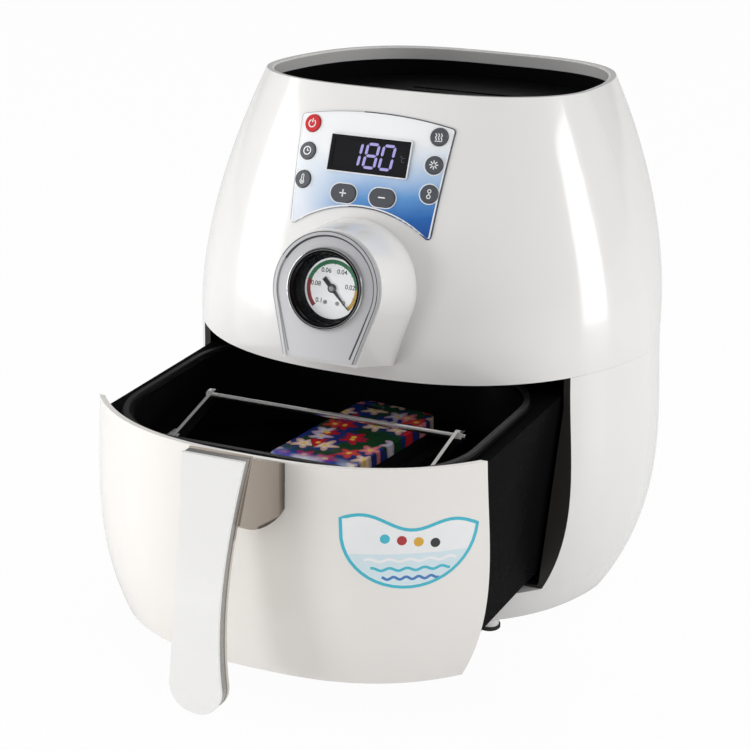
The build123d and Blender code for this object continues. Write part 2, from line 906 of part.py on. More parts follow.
# ---------------------------------------------------------------- pan and seal
pan_draft = 8.0
pan_rim_low = tub_flange_height + fit_gap
pan_rim_high = pan_rim_low + pan_wall
pan_inside_floor = pan_floor + pan_wall

with BuildPart() as inner_pan:
    loft([pan_outline(-pan_draft, pan_floor), pan_outline(0, pan_rim_high)])
    loft(
        [pan_outline(-pan_draft - pan_wall, pan_inside_floor), pan_outline(-pan_wall, pan_rim_high)],
        mode=Mode.SUBTRACT,
    )
    extrude(pan_outline(pan_rim_width, pan_rim_low), amount=pan_wall)
    extrude(pan_outline(-pan_wall, pan_rim_low), amount=pan_wall, mode=Mode.SUBTRACT)

inner_pan.part.label = "inner_pan"
export_step(inner_pan.part, "parts/inner_pan.step")

with BuildPart() as pan_seal:
    extrude(pan_outline(seal_width + 1, pan_rim_high + seat_gap), amount=seal_height)
    extrude(pan_outline(1, pan_rim_high + seat_gap), amount=seal_height, mode=Mode.SUBTRACT)

pan_seal.part.label = "pan_seal"
export_step(pan_seal.part, "parts/pan_seal.step")

# ---------------------------------------------------------------- handle
handle_mid_height = 126.0
handle_low_height = 62.0
handle_plane = Plane.XZ.offset(rim_front + 150)


def handle_curve(depth):
    """The handle's side curve, moved back by a depth."""
    return [
        (-rim_front - handle_top_reach + depth, handle_top_height),
        (-rim_front - handle_mid_reach + depth, handle_mid_height),
        (-rim_front - handle_low_reach + depth, handle_low_height),
        (-rim_front - handle_low_reach + 1 + depth, handle_tip_height),
    ]


def handle_layer(near, far_side, inset):
    """One layer of the handle between two depths, drawn in at the edges by an inset."""
    with BuildPart() as layer:
        with BuildSketch(Plane.YZ):
            with BuildLine():
                face = Spline(handle_curve(near))
                rear = Spline(handle_curve(far_side))
                Line(face @ 0, rear @ 0)
                Line(face @ 1, rear @ 1)
            make_face()
        extrude(amount=40, both=True)
        with BuildSketch(handle_plane):
            with BuildLine():
                side = Spline(
                    (handle_top_half - inset, handle_top_height - inset),
                    (handle_waist_half - inset, handle_mid_height),
                    (handle_foot_half - inset, handle_low_height),
                )
                foot = (0, handle_tip_height + inset)
                ThreePointArc(side @ 1, foot, (-(side @ 1).X, (side @ 1).Y))
                mirror(side, about=Plane.YZ)
                Line(side @ 0, (-(side @ 0).X, (side @ 0).Y))
            make_face()
        extrude(amount=-200, mode=Mode.INTERSECT)
    return layer.part


band_depth = handle_face_thick + seat_gap
back_depth = band_depth + handle_band_thick + seat_gap
handle_rear = back_depth + handle_back_thick
neck_top = rim_height - 0.5

with BuildPart() as handle_face:
    add(handle_layer(0, handle_face_thick, 0))

handle_face.part.label = "handle_face"
export_step(handle_face.part, "parts/handle_face.step")

with BuildPart() as handle_band:
    add(handle_layer(band_depth, band_depth + handle_band_thick, 0.4))

handle_band.part.label = "handle_band"
export_step(handle_band.part, "parts/handle_band.step")

with BuildPart() as handle_back:
    with BuildSketch(Plane.YZ):
        with BuildLine():
            root_y = -rim_front + 8
            grip_y = -rim_front - handle_top_reach + handle_rear - 1
            low_y = grip_y - 12
            Line((root_y, neck_top), (-rim_front, neck_top))
            Line((-rim_front, neck_top), (grip_y, handle_top_height - 2))
            Line((grip_y, handle_top_height - 2), (low_y, neck_low + 8))
            ThreePointArc((low_y, neck_low + 8), (low_y + 18, neck_low), (root_y, neck_low + 12))
            Line((root_y, neck_low + 12), (root_y, neck_top))
        make_face()
    extrude(amount=neck_half_width, both=True)
    with BuildSketch(Plane.XY):
        with BuildLine():
            Polyline(
                (-neck_half_width, root_y),
                (neck_half_width, root_y),
                (neck_half_width - 1, root_y - 14),
                (handle_top_half - 3, low_y),
                (-handle_top_half + 3, low_y),
                (-neck_half_width + 1, root_y - 14),
                close=True,
            )
        make_face()
    extrude(amount=far, mode=Mode.INTERSECT)
    add(handle_layer(back_depth, handle_rear, 0))
    add(handle_layer(-30, back_depth, -30), mode=Mode.SUBTRACT)
    add(body_block(drawer_low, rim_height, skin_levels, -2 * seat_gap, -drawer_out), mode=Mode.SUBTRACT)
    with BuildSketch(Plane.XZ.offset(rim_front - 10)):
        with Locations((-neck_screw_x, neck_screw_height), (neck_screw_x, neck_screw_height)):
            Circle(screw_radius + screw_gap)
    extrude(amount=25, mode=Mode.SUBTRACT)

handle_back.part.label = "handle_back"
export_step(handle_back.part, "parts/handle_back.step")

with BuildPart() as handle_screws:
    screw_back = -rim_front + housing_wall
    with BuildSketch(Plane.XZ.offset(-screw_back - 2 * seat_gap)):
        with Locations((-neck_screw_x, neck_screw_height), (neck_screw_x, neck_screw_height)):
            Circle(screw_radius)
    extrude(amount=12)
    with BuildSketch(Plane.XZ.offset(-screw_back - 2 * seat_gap)):
        with Locations((-neck_screw_x, neck_screw_height), (neck_screw_x, neck_screw_height)):
            Circle(handle_screw_head)
    extrude(amount=-1.6)

handle_screws.part.label = "handle_screws"
export_step(handle_screws.part, "parts/handle_screws.step")

# ---------------------------------------------------------------- bail
bail_y = -bail_back - drawer_out
pivot_y = -bail_pivot_front - drawer_out
arm_length = hypot(bail_y - pivot_y, bail_height - bail_pivot_height)
arm_turn = degrees(atan2(bail_height - bail_pivot_height, bail_y - pivot_y))
arm_inner = bail_half - bail_arm_thick / 2
arm_outer = bail_half + bail_arm_thick / 2
nut_height = 3.0
nut_radius = 4.2
bracket_inner = arm_outer + fit_gap
bracket_outer = bracket_inner + bracket_thick
bracket_width = 12.0
bracket_top = bail_pivot_height + 5

with BuildPart() as bail_arms:
    with BuildSketch(Plane.YZ):
        with Locations(((bail_y + pivot_y) / 2, (bail_height + bail_pivot_height) / 2)):
            SlotCenterToCenter(arm_length, bail_arm_width, rotation=arm_turn)
        with Locations((bail_y, bail_height)):
            Circle(bail_rod_radius + seat_gap, mode=Mode.SUBTRACT)
        with Locations((pivot_y, bail_pivot_height)):
            Circle(bail_screw_radius + shaft_gap, mode=Mode.SUBTRACT)
    extrude(amount=arm_outer, both=True)
    add(box_between((-arm_inner, arm_inner), (-far, far), (0, far)), mode=Mode.SUBTRACT)

bail_arms.part.label = "bail_arms"
export_step(bail_arms.part, "parts/bail_arms.step")

with BuildPart() as bail_rod:
    with BuildSketch(Plane.YZ):
        with Locations((bail_y, bail_height)):
            Circle(bail_rod_radius)
    extrude(amount=arm_outer + nut_height + 1.5, both=True)

bail_rod.part.label = "bail_rod"
export_step(bail_rod.part, "parts/bail_rod.step")

with BuildPart() as bail_nuts:
    with BuildSketch(Plane.YZ):
        with Locations((bail_y, bail_height)):
            RegularPolygon(nut_radius, 6)
            Circle(bail_rod_radius + seat_gap, mode=Mode.SUBTRACT)
    extrude(amount=arm_outer + seat_gap + nut_height, both=True)
    inside = arm_outer + seat_gap
    add(box_between((-inside, inside), (-far, far), (0, far)), mode=Mode.SUBTRACT)

bail_nuts.part.label = "bail_nuts"
export_step(bail_nuts.part, "parts/bail_nuts.step")

with BuildPart() as bail_brackets:
    # Two upright ears on the pan's floor, with feet turned inward.
    with BuildSketch(Plane.YZ):
        with Locations((pivot_y, (bracket_top + pan_inside_floor) / 2)):
            Rectangle(bracket_width, bracket_top - pan_inside_floor - seat_gap)
        with Locations((pivot_y, bail_pivot_height)):
            Circle(bail_screw_radius + seat_gap, mode=Mode.SUBTRACT)
    extrude(amount=bracket_outer, both=True)
    add(box_between((-bracket_inner, bracket_inner), (-far, far), (0, far)), mode=Mode.SUBTRACT)
    foot_inner = bracket_inner - 11
    foot_low = pan_inside_floor + seat_gap / 2
    for side in (-1, 1):
        foot_span = sorted((side * foot_inner, side * bracket_outer))
        foot_depth = (pivot_y - bracket_width / 2, pivot_y + bracket_width / 2)
        add(box_between(foot_span, foot_depth, (foot_low, foot_low + bracket_thick)))

bail_brackets.part.label = "bail_brackets"
export_step(bail_brackets.part, "parts/bail_brackets.step")

with BuildPart() as bail_screws:
    with BuildSketch(Plane.YZ):
        with Locations((pivot_y, bail_pivot_height)):
            Circle(bail_screw_radius)
    extrude(amount=bracket_outer + 3, both=True)
    shank_inner = arm_inner - 1.8
    add(box_between((-shank_inner, shank_inner), (-far, far), (0, far)), mode=Mode.SUBTRACT)
    with BuildSketch(Plane.YZ):
        with Locations((pivot_y, bail_pivot_height)):
            Circle(2 * bail_screw_radius)
    extrude(amount=arm_inner - fit_gap, both=True)
    add(box_between((-shank_inner, shank_inner), (-far, far), (0, far)), mode=Mode.SUBTRACT)

bail_screws.part.label = "bail_screws"
export_step(bail_screws.part, "parts/bail_screws.step")

# ---------------------------------------------------------------- mould and printed cover
mould_plane = Plane(
    origin=(mould_x, -mould_y - drawer_out, pan_inside_floor + fit_gap),
    x_dir=(cos(radians(mould_turn)), sin(radians(mould_turn)), 0),
    z_dir=(0, 0, 1),
)
form_top = mould_base_height + mould_form_height
cover_top = form_top + fit_gap + cover_wall
cover_gap = cover_wall + fit_gap

with BuildPart() as phone_mould:
    with BuildSketch(mould_plane):
        RectangleRounded(cover_width + 12, cover_length + 12, cover_corner)
    extrude(amount=mould_base_height)
    with BuildSketch(mould_plane.offset(mould_base_height)):
        RectangleRounded(cover_width - 2 * cover_gap, cover_length - 2 * cover_gap, cover_corner - cover_gap)
    extrude(amount=mould_form_height)

phone_mould.part.label = "phone_mould"
export_step(phone_mould.part, "parts/phone_mould.step")

with BuildPart() as printed_cover:
    with BuildSketch(mould_plane.offset(cover_top - cover_height)):
        RectangleRounded(cover_width, cover_length, cover_corner)
    extrude(amount=cover_height)
    fillet(printed_cover.faces().sort_by(Axis.Z)[-1].edges(), 1.2)
    with BuildSketch(mould_plane.offset(cover_top - cover_height)):
        RectangleRounded(cover_width - 2 * cover_wall, cover_length - 2 * cover_wall, cover_corner - cover_wall)
    extrude(amount=cover_height - cover_wall, mode=Mode.SUBTRACT)
    # The opening for the camera.
    with BuildSketch(mould_plane.offset(cover_top + 1)):
        with Locations((-cover_width / 2 + 15, cover_length / 2 - 10)):
            SlotOverall(16, 8)
    extrude(amount=-cover_wall - 2, mode=Mode.SUBTRACT)

printed_cover.part.label = "printed_cover"
export_step(printed_cover.part, "parts/printed_cover.step")

# ---------------------------------------------------------------- heat shield, heater and fan
shield_low = liner_top + seat_gap
shield_top = shield_low + shield_height
shield_plate_half = 132.0
shield_plate_back = shield_half_depth + 4
heater_height = shield_low + 16
heater_half = shield_half_width - 15
heater_pitch = 28.0
heater_end_x = 14.0
probe_height = shield_low + 30
probe_radius = 2.0
cutout_place = (58.0, 40.0)

with BuildPart() as heat_shield:
    with BuildSketch(Plane.XY.offset(shield_low)):
        with Locations((0, (liner_front + shield_plate_back) / 2)):
            Rectangle(2 * shield_plate_half, shield_plate_back - liner_front)
        Rectangle(2 * shield_half_width - 6, 2 * shield_half_depth - 6, mode=Mode.SUBTRACT)
    extrude(amount=shield_wall)
    with BuildSketch(Plane.XY.offset(shield_low)):
        RectangleRounded(2 * shield_half_width, 2 * shield_half_depth, 12)
    extrude(amount=shield_height)
    with BuildSketch(Plane.XY.offset(shield_low - 1)):
        RectangleRounded(2 * (shield_half_width - shield_wall), 2 * (shield_half_depth - shield_wall), 11)
    extrude(amount=shield_height + 1 - shield_wall, mode=Mode.SUBTRACT)
    with BuildSketch(Plane.XY.offset(shield_top - 2 * shield_wall)):
        Circle(fan_shaft_radius + 1)
    extrude(amount=4 * shield_wall, mode=Mode.SUBTRACT)
    with BuildSketch(Plane.XZ.offset(-shield_half_depth - 2)):
        with Locations((-heater_end_x, heater_height), (heater_end_x, heater_height)):
            Circle(heater_radius + fit_gap)
    extrude(amount=6, mode=Mode.SUBTRACT)
    with BuildSketch(Plane.YZ.offset(shield_half_width - 4)):
        with Locations((0, probe_height)):
            Circle(probe_radius + seat_gap)
    extrude(amount=8, mode=Mode.SUBTRACT)

heat_shield.part.label = "heat_shield"
export_step(heat_shield.part, "parts/heat_shield.step")

with BuildPart() as heater:
    # One tube bent to and fro, with both ends through the shield's back wall.
    with BuildLine(Plane.XY.offset(heater_height)) as heater_path:
        FilletPolyline(
            (-heater_end_x, shield_half_depth + 8),
            (-heater_end_x, heater_pitch * 1.5),
            (-heater_half, heater_pitch * 1.5),
            (-heater_half, -heater_pitch * 2),
            (heater_half, -heater_pitch * 2),
            (heater_half, heater_pitch * 1.5),
            (heater_end_x, heater_pitch * 1.5),
            (heater_end_x, shield_half_depth + 8),
            radius=12,
        )
    with BuildSketch(Plane.XZ.offset(-shield_half_depth - 8)):
        with Locations((-heater_end_x, heater_height)):
            Circle(heater_radius)
    sweep(path=heater_path.wires()[0])

heater.part.label = "heater"
export_step(heater.part, "parts/heater.step")

fan_blades = 6
fan_thick = 1.2
fan_hub = 11.0
fan_hub_height = 10.0
fan_pitch = 30.0
blade_width = 15.0
shaft_reach = motor_floor + 12


def fan_blade(turn):
    """The plane of one fan blade, pitched about the blade's own length."""
    outward = Vector(cos(radians(turn)), sin(radians(turn)), 0)
    across = Vector(-outward.Y, outward.X, 0)
    tilted = Vector(0, 0, 1) * cos(radians(fan_pitch)) + across * sin(radians(fan_pitch))
    return Plane(origin=(0, 0, fan_height + fan_hub_height / 2), x_dir=outward, z_dir=tilted)


with BuildPart() as fan:
    with BuildSketch(Plane.XY.offset(fan_height)):
        Circle(fan_hub)
    extrude(amount=fan_hub_height)
    with BuildSketch(Plane.XY.offset(fan_height)):
        Circle(fan_shaft_radius)
    extrude(amount=shaft_reach - fan_height)
    for step in range(fan_blades):
        with BuildSketch(fan_blade(360 * step / fan_blades)):
            with Locations(((fan_radius + fan_hub - 3) / 2, 0)):
                Rectangle(fan_radius - fan_hub + 3, blade_width)
        extrude(amount=fan_thick / 2, both=True)

fan.part.label = "fan"
export_step(fan.part, "parts/fan.step")

with BuildPart() as motor_bracket:
    # A plate on four legs above the shield.
    bracket_half = 34.0
    bracket_plate = 2.0
    with BuildSketch(Plane.XY.offset(motor_floor - bracket_plate - seat_gap)):
        RectangleRounded(2 * bracket_half, 2 * bracket_half, 4)
        Circle(fan_shaft_radius + 1, mode=Mode.SUBTRACT)
    extrude(amount=bracket_plate)
    with BuildSketch(Plane.XY.offset(shield_top + seat_gap)):
        with GridLocations(2 * bracket_half - 10, 2 * bracket_half - 10, 2, 2):
            Circle(3.5)
    extrude(amount=motor_floor - bracket_plate - shield_top - seat_gap)

motor_bracket.part.label = "motor_bracket"
export_step(motor_bracket.part, "parts/motor_bracket.step")

with BuildPart() as fan_motor:
    with BuildSketch(Plane.XY.offset(motor_floor)):
        Circle(motor_radius)
    extrude(amount=motor_height)
    chamfer(fan_motor.edges().group_by(Axis.Z)[-1], 2)
    with BuildSketch(Plane.XY.offset(motor_floor)):
        Circle(fan_shaft_radius + shaft_gap)
    extrude(amount=shaft_reach - motor_floor + 1, mode=Mode.SUBTRACT)

fan_motor.part.label = "fan_motor"
export_step(fan_motor.part, "parts/fan_motor.step")

with BuildPart() as temperature_sensors:
    # The probe through the shield's side, and the cut-out on its top.
    with BuildSketch(Plane.YZ.offset(shield_half_width - 40)):
        with Locations((0, probe_height)):
            Circle(probe_radius)
    extrude(amount=50)
    with BuildSketch(Plane.YZ.offset(shield_half_width + seat_gap)):
        with Locations((0, probe_height)):
            RegularPolygon(4.5, 6)
    extrude(amount=3)
    with BuildSketch(Plane.XY.offset(shield_top + seat_gap)):
        with Locations(cutout_place):
            Circle(9)
    extrude(amount=5)
    with BuildSketch(Plane.XY.offset(shield_top + 5)):
        with Locations((cutout_place[0] - 5, cutout_place[1]), (cutout_place[0] + 5, cutout_place[1])):
            Rectangle(1, 5)
    extrude(amount=4)

temperature_sensors.part.label = "temperature_sensors"
export_step(temperature_sensors.part, "parts/temperature_sensors.step")

# ---------------------------------------------------------------- equipment deck
deck_top = deck_height + deck_thick
deck_hole = 40.0
notch_half = 48.0
notch_back = 92.0
pump_x = 76.0
pump_y = 22.0
pump_radius = 16.0
pump_length = 46.0
pump_head = 26.0
valve_y = -48.0
valve_size = (22.0, 26.0, 30.0)
supply_x = -78.0
supply_y = 24.0
supply_size = (62.0, 84.0)
port_radius = 2.3
port_length = 8.0
port_height = deck_top + pump_radius + 2

with BuildPart() as equipment_deck:
    add(body_block(deck_height, deck_top, 2, inset=housing_wall + fit_gap))
    with BuildSketch(Plane.XY.offset(deck_height - 1)):
        Circle(deck_hole)
        with Locations((0, -notch_back - 50)):
            Rectangle(2 * notch_half, 100)
    extrude(amount=deck_thick + 2, mode=Mode.SUBTRACT)

equipment_deck.part.label = "equipment_deck"
export_step(equipment_deck.part, "parts/equipment_deck.step")

with BuildPart() as vacuum_pump:
    # A motor lying on a cradle, a square pump head and its port at the front.
    with BuildSketch(Plane.XZ.offset(-pump_y - pump_length)):
        with Locations((pump_x, port_height)):
            Circle(pump_radius)
    extrude(amount=pump_length)
    with BuildSketch(Plane.XY.offset(deck_top + seat_gap)):
        with Locations((pump_x, pump_y + pump_length / 2)):
            Rectangle(pump_radius * 1.5, pump_length - 6)
    extrude(amount=pump_radius)
    with BuildSketch(Plane.XY.offset(deck_top + seat_gap)):
        with Locations((pump_x, pump_y - pump_head / 2)):
            RectangleRounded(2 * pump_radius + 4, pump_head, 2)
    extrude(amount=2 * pump_radius + 4)
    with BuildSketch(Plane.XZ.offset(-pump_y + pump_head)):
        with Locations((pump_x, port_height)):
            Circle(port_radius)
    extrude(amount=port_length)

vacuum_pump.part.label = "vacuum_pump"
export_step(vacuum_pump.part, "parts/vacuum_pump.step")

with BuildPart() as solenoid_valve:
    with BuildSketch(Plane.XY.offset(deck_top + seat_gap)):
        with Locations((pump_x, valve_y)):
            RectangleRounded(valve_size[0], valve_size[1], 2)
    extrude(amount=valve_size[2])
    with BuildSketch(Plane.XY.offset(deck_top + valve_size[2])):
        with Locations((pump_x, valve_y)):
            Circle(7)
    extrude(amount=8)
    for facing in (1, -1):
        with BuildSketch(Plane.XZ.offset(-valve_y + facing * valve_size[1] / 2)):
            with Locations((pump_x, port_height)):
                Circle(port_radius)
        extrude(amount=facing * port_length)

solenoid_valve.part.label = "solenoid_valve"
export_step(solenoid_valve.part, "parts/solenoid_valve.step")

hose_bore = port_radius + seat_gap
valve_back = valve_y + valve_size[1] / 2 + seat_gap
valve_front = valve_y - valve_size[1] / 2 - seat_gap
pump_face = pump_y - pump_head - seat_gap
stem = gauge_plane.offset(-gauge_depth - 4.2)
stem_end = gauge_plane.offset(-gauge_depth - fitting_length - 10)

with BuildPart() as vacuum_hoses:
    # A short straight hose from valve to pump.
    with BuildSketch(Plane.XZ.offset(-pump_face)):
        with Locations((pump_x, port_height)):
            Circle(hose_radius)
            Circle(hose_bore, mode=Mode.SUBTRACT)
    extrude(amount=pump_face - valve_back)
    # A bent hose from the gauge's stem to the valve.
    with BuildLine() as hose_path:
        FilletPolyline(
            stem.origin,
            stem_end.origin,
            (0, -118, port_height - 6),
            (pump_x * 0.55, -112, port_height),
            (pump_x, valve_front - 30, port_height),
            (pump_x, valve_front, port_height),
            radius=10,
        )
    with BuildSketch(stem):
        Circle(hose_radius)
        Circle(hose_bore, mode=Mode.SUBTRACT)
    sweep(path=hose_path.wires()[0])

vacuum_hoses.part.label = "vacuum_hoses"
export_step(vacuum_hoses.part, "parts/vacuum_hoses.step")

with BuildPart() as supply_board:
    # Circuit board on spacers, with transformer, capacitors and heat sink.
    board_top = deck_top + 6 + board_thick
    with BuildSketch(Plane.XY.offset(deck_top + 6)):
        with Locations((supply_x, supply_y)):
            Rectangle(*supply_size)
    extrude(amount=board_thick)
    with BuildSketch(Plane.XY.offset(deck_top + seat_gap)):
        with Locations((supply_x, supply_y)):
            with GridLocations(supply_size[0] - 10, supply_size[1] - 10, 2, 2):
                Circle(2.5)
    extrude(amount=6)
    with BuildSketch(Plane.XY.offset(board_top)):
        with Locations((supply_x, supply_y + 18)):
            Rectangle(34, 30)
    extrude(amount=26)
    with BuildSketch(Plane.XY.offset(board_top)):
        with Locations((supply_x - 14, supply_y - 18), (supply_x + 4, supply_y - 18)):
            Circle(6)
    extrude(amount=18)
    with BuildSketch(Plane.XY.offset(board_top)):
        with Locations((supply_x + 20, supply_y - 16)):
            Rectangle(6, 30)
    extrude(amount=22)

supply_board.part.label = "supply_board"
export_step(supply_board.part, "parts/supply_board.step")

# ---------------------------------------------------------------- terminal plate
inlet_x = -30.0
switch_x = 26.0
inlet_size = (27.0, 20.0)
inlet_depth = 22.0
inlet_flange = 3.0
switch_cut = (19.0, 27.0)
switch_frame_lap = 3.0
switch_wall = 1.2
switch_depth = 16.0
rocker_radius = 11.4
rocker_width = 15.0
rocker_pin = 1.5
rocker_turn = 8.0
plate_face = Plane(origin=(0, plate_back, plate_middle), x_dir=(-1, 0, 0), z_dir=(0, 1, 0))

with BuildPart() as terminal_plate:
    with BuildSketch(plate_face):
        Rectangle(2 * plate_half_width, plate_high - plate_low)
        with Locations((inlet_x, 0)):
            Rectangle(inlet_size[0] + 2 * fit_gap, inlet_size[1] + 2 * fit_gap, mode=Mode.SUBTRACT)
        with Locations((switch_x, 0)):
            Rectangle(*switch_cut, mode=Mode.SUBTRACT)
    extrude(amount=-plate_thick)
    # Its corners are trimmed to the inside of the housing.
    add(
        body_block(base_seam + 1, seam - 1, skin_levels, inset=housing_wall + seat_gap),
        mode=Mode.INTERSECT,
    )

terminal_plate.part.label = "terminal_plate"
export_step(terminal_plate.part, "parts/terminal_plate.step")

with BuildPart() as power_inlet:
    with BuildSketch(plate_face.offset(seat_gap)):
        with Locations((inlet_x, 0)):
            RectangleRounded(inlet_size[0] + 2 * inlet_flange, inlet_size[1] + 2 * inlet_flange, 2)
    extrude(amount=2)
    with BuildSketch(plate_face.offset(seat_gap)):
        with Locations((inlet_x, 0)):
            Rectangle(*inlet_size)
    extrude(amount=-inlet_depth)
    with BuildSketch(plate_face.offset(3)):
        with Locations((inlet_x, 0)):
            RectangleRounded(inlet_size[0] - 3, inlet_size[1] - 3.5, 2)
    extrude(amount=-19, mode=Mode.SUBTRACT)
    with BuildSketch(plate_face.offset(-16.5)):
        with Locations((inlet_x - 7, -2), (inlet_x, 3), (inlet_x + 7, -2)):
            Rectangle(2, 4)
    extrude(amount=14)

power_inlet.part.label = "power_inlet"
export_step(power_inlet.part, "parts/power_inlet.step")

with BuildPart() as switch_frame:
    cut_width, cut_height = switch_cut
    body_size = (cut_width - 2 * fit_gap, cut_height - 2 * fit_gap)
    with BuildSketch(plate_face.offset(seat_gap)):
        with Locations((switch_x, 0)):
            RectangleRounded(cut_width + 2 * switch_frame_lap, cut_height + 2 * switch_frame_lap, 2)
    extrude(amount=2)
    with BuildSketch(plate_face.offset(seat_gap)):
        with Locations((switch_x, 0)):
            Rectangle(*body_size)
    extrude(amount=-switch_depth)
    with BuildSketch(plate_face.offset(3)):
        with Locations((switch_x, 0)):
            Rectangle(body_size[0] - 2 * switch_wall, 2 * rocker_radius + 0.8)
    extrude(amount=-switch_depth - 1.5, mode=Mode.SUBTRACT)
    # Holes for the rocker's pins.
    with BuildSketch(Plane.YZ.offset(-switch_x - cut_width)):
        with Locations((plate_back - 3, plate_middle)):
            Circle(rocker_pin + shaft_gap)
    extrude(amount=2 * cut_width, mode=Mode.SUBTRACT)

switch_frame.part.label = "switch_frame"
export_step(switch_frame.part, "parts/switch_frame.step")

with BuildPart() as rocker:
    rocker_plane = Plane(
        origin=(-switch_x - rocker_width / 2, plate_back - 3, plate_middle),
        x_dir=(0, cos(radians(rocker_turn)), sin(radians(rocker_turn))),
        z_dir=(1, 0, 0),
    )
    with BuildSketch(rocker_plane):
        Circle(rocker_radius)
        with Locations((rocker_radius + 5, 0)):
            Rectangle(2 * rocker_radius, 3 * rocker_radius, mode=Mode.SUBTRACT)
        with Locations((-rocker_radius - 4, 0)):
            Rectangle(2 * rocker_radius, 3 * rocker_radius, mode=Mode.SUBTRACT)
        with Locations((rocker_radius * 0.92, 0)):
            Circle(8, mode=Mode.SUBTRACT)
    extrude(amount=rocker_width)
    with BuildSketch(rocker_plane.offset(-switch_wall + 0.2)):
        Circle(rocker_pin)
    extrude(amount=rocker_width + 2 * switch_wall - 0.4)

rocker.part.label = "rocker"
export_step(rocker.part, "parts/rocker.step")
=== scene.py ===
"""Studio scene of a table-top vacuum heat press with its drawer pulled out.

Every size is in millimetres in the row frame, unless a comment says metres. The front
faces -Y, +Z is up, and the origin lies on the floor under the middle of the body. The
finishes measure in metres, as a shader's object coordinates do.
"""

from __future__ import annotations

import json
import logging
from dataclasses import dataclass, field
from enum import Enum
from math import acos, atan2, cos, hypot, pi, radians, sin, sqrt, tan
from typing import Callable, Iterable, Sequence, Union

import bmesh
import bpy
from mathutils import Matrix, Vector
from mathutils.bvhtree import BVHTree


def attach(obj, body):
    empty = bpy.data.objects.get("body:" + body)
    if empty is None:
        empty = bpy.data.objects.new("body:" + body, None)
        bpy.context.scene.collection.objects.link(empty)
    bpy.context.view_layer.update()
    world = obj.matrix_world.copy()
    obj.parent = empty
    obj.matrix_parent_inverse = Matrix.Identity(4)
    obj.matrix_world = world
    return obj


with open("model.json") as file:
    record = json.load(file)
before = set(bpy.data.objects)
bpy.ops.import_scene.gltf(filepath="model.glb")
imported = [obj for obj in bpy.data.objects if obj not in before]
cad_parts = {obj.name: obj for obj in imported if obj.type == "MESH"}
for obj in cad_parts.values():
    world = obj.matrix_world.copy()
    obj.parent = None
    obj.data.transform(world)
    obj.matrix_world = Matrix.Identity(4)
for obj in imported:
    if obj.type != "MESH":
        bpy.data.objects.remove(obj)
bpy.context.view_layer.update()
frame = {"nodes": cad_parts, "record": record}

log = logging.getLogger("press")
logging.basicConfig(level=logging.INFO, format="%(name)s: %(message)s")

MM = 0.001
Point2 = tuple[float, float]
Point3 = tuple[float, float, float]
Colour = tuple[float, float, float]
Output = bpy.types.NodeSocket
Socket = Union[Output, float, Sequence[float], None]
Lay = Callable[[float, float], Vector]


# ---------------------------------------------------------------- node trees
def rgba(colour: Colour) -> tuple[float, float, float, float]:
    """A colour with full opacity."""
    return (*colour, 1.0)


def darker(colour: Colour, share: float) -> Colour:
    """A colour brought down to a share of itself."""
    return tuple(channel * share for channel in colour)


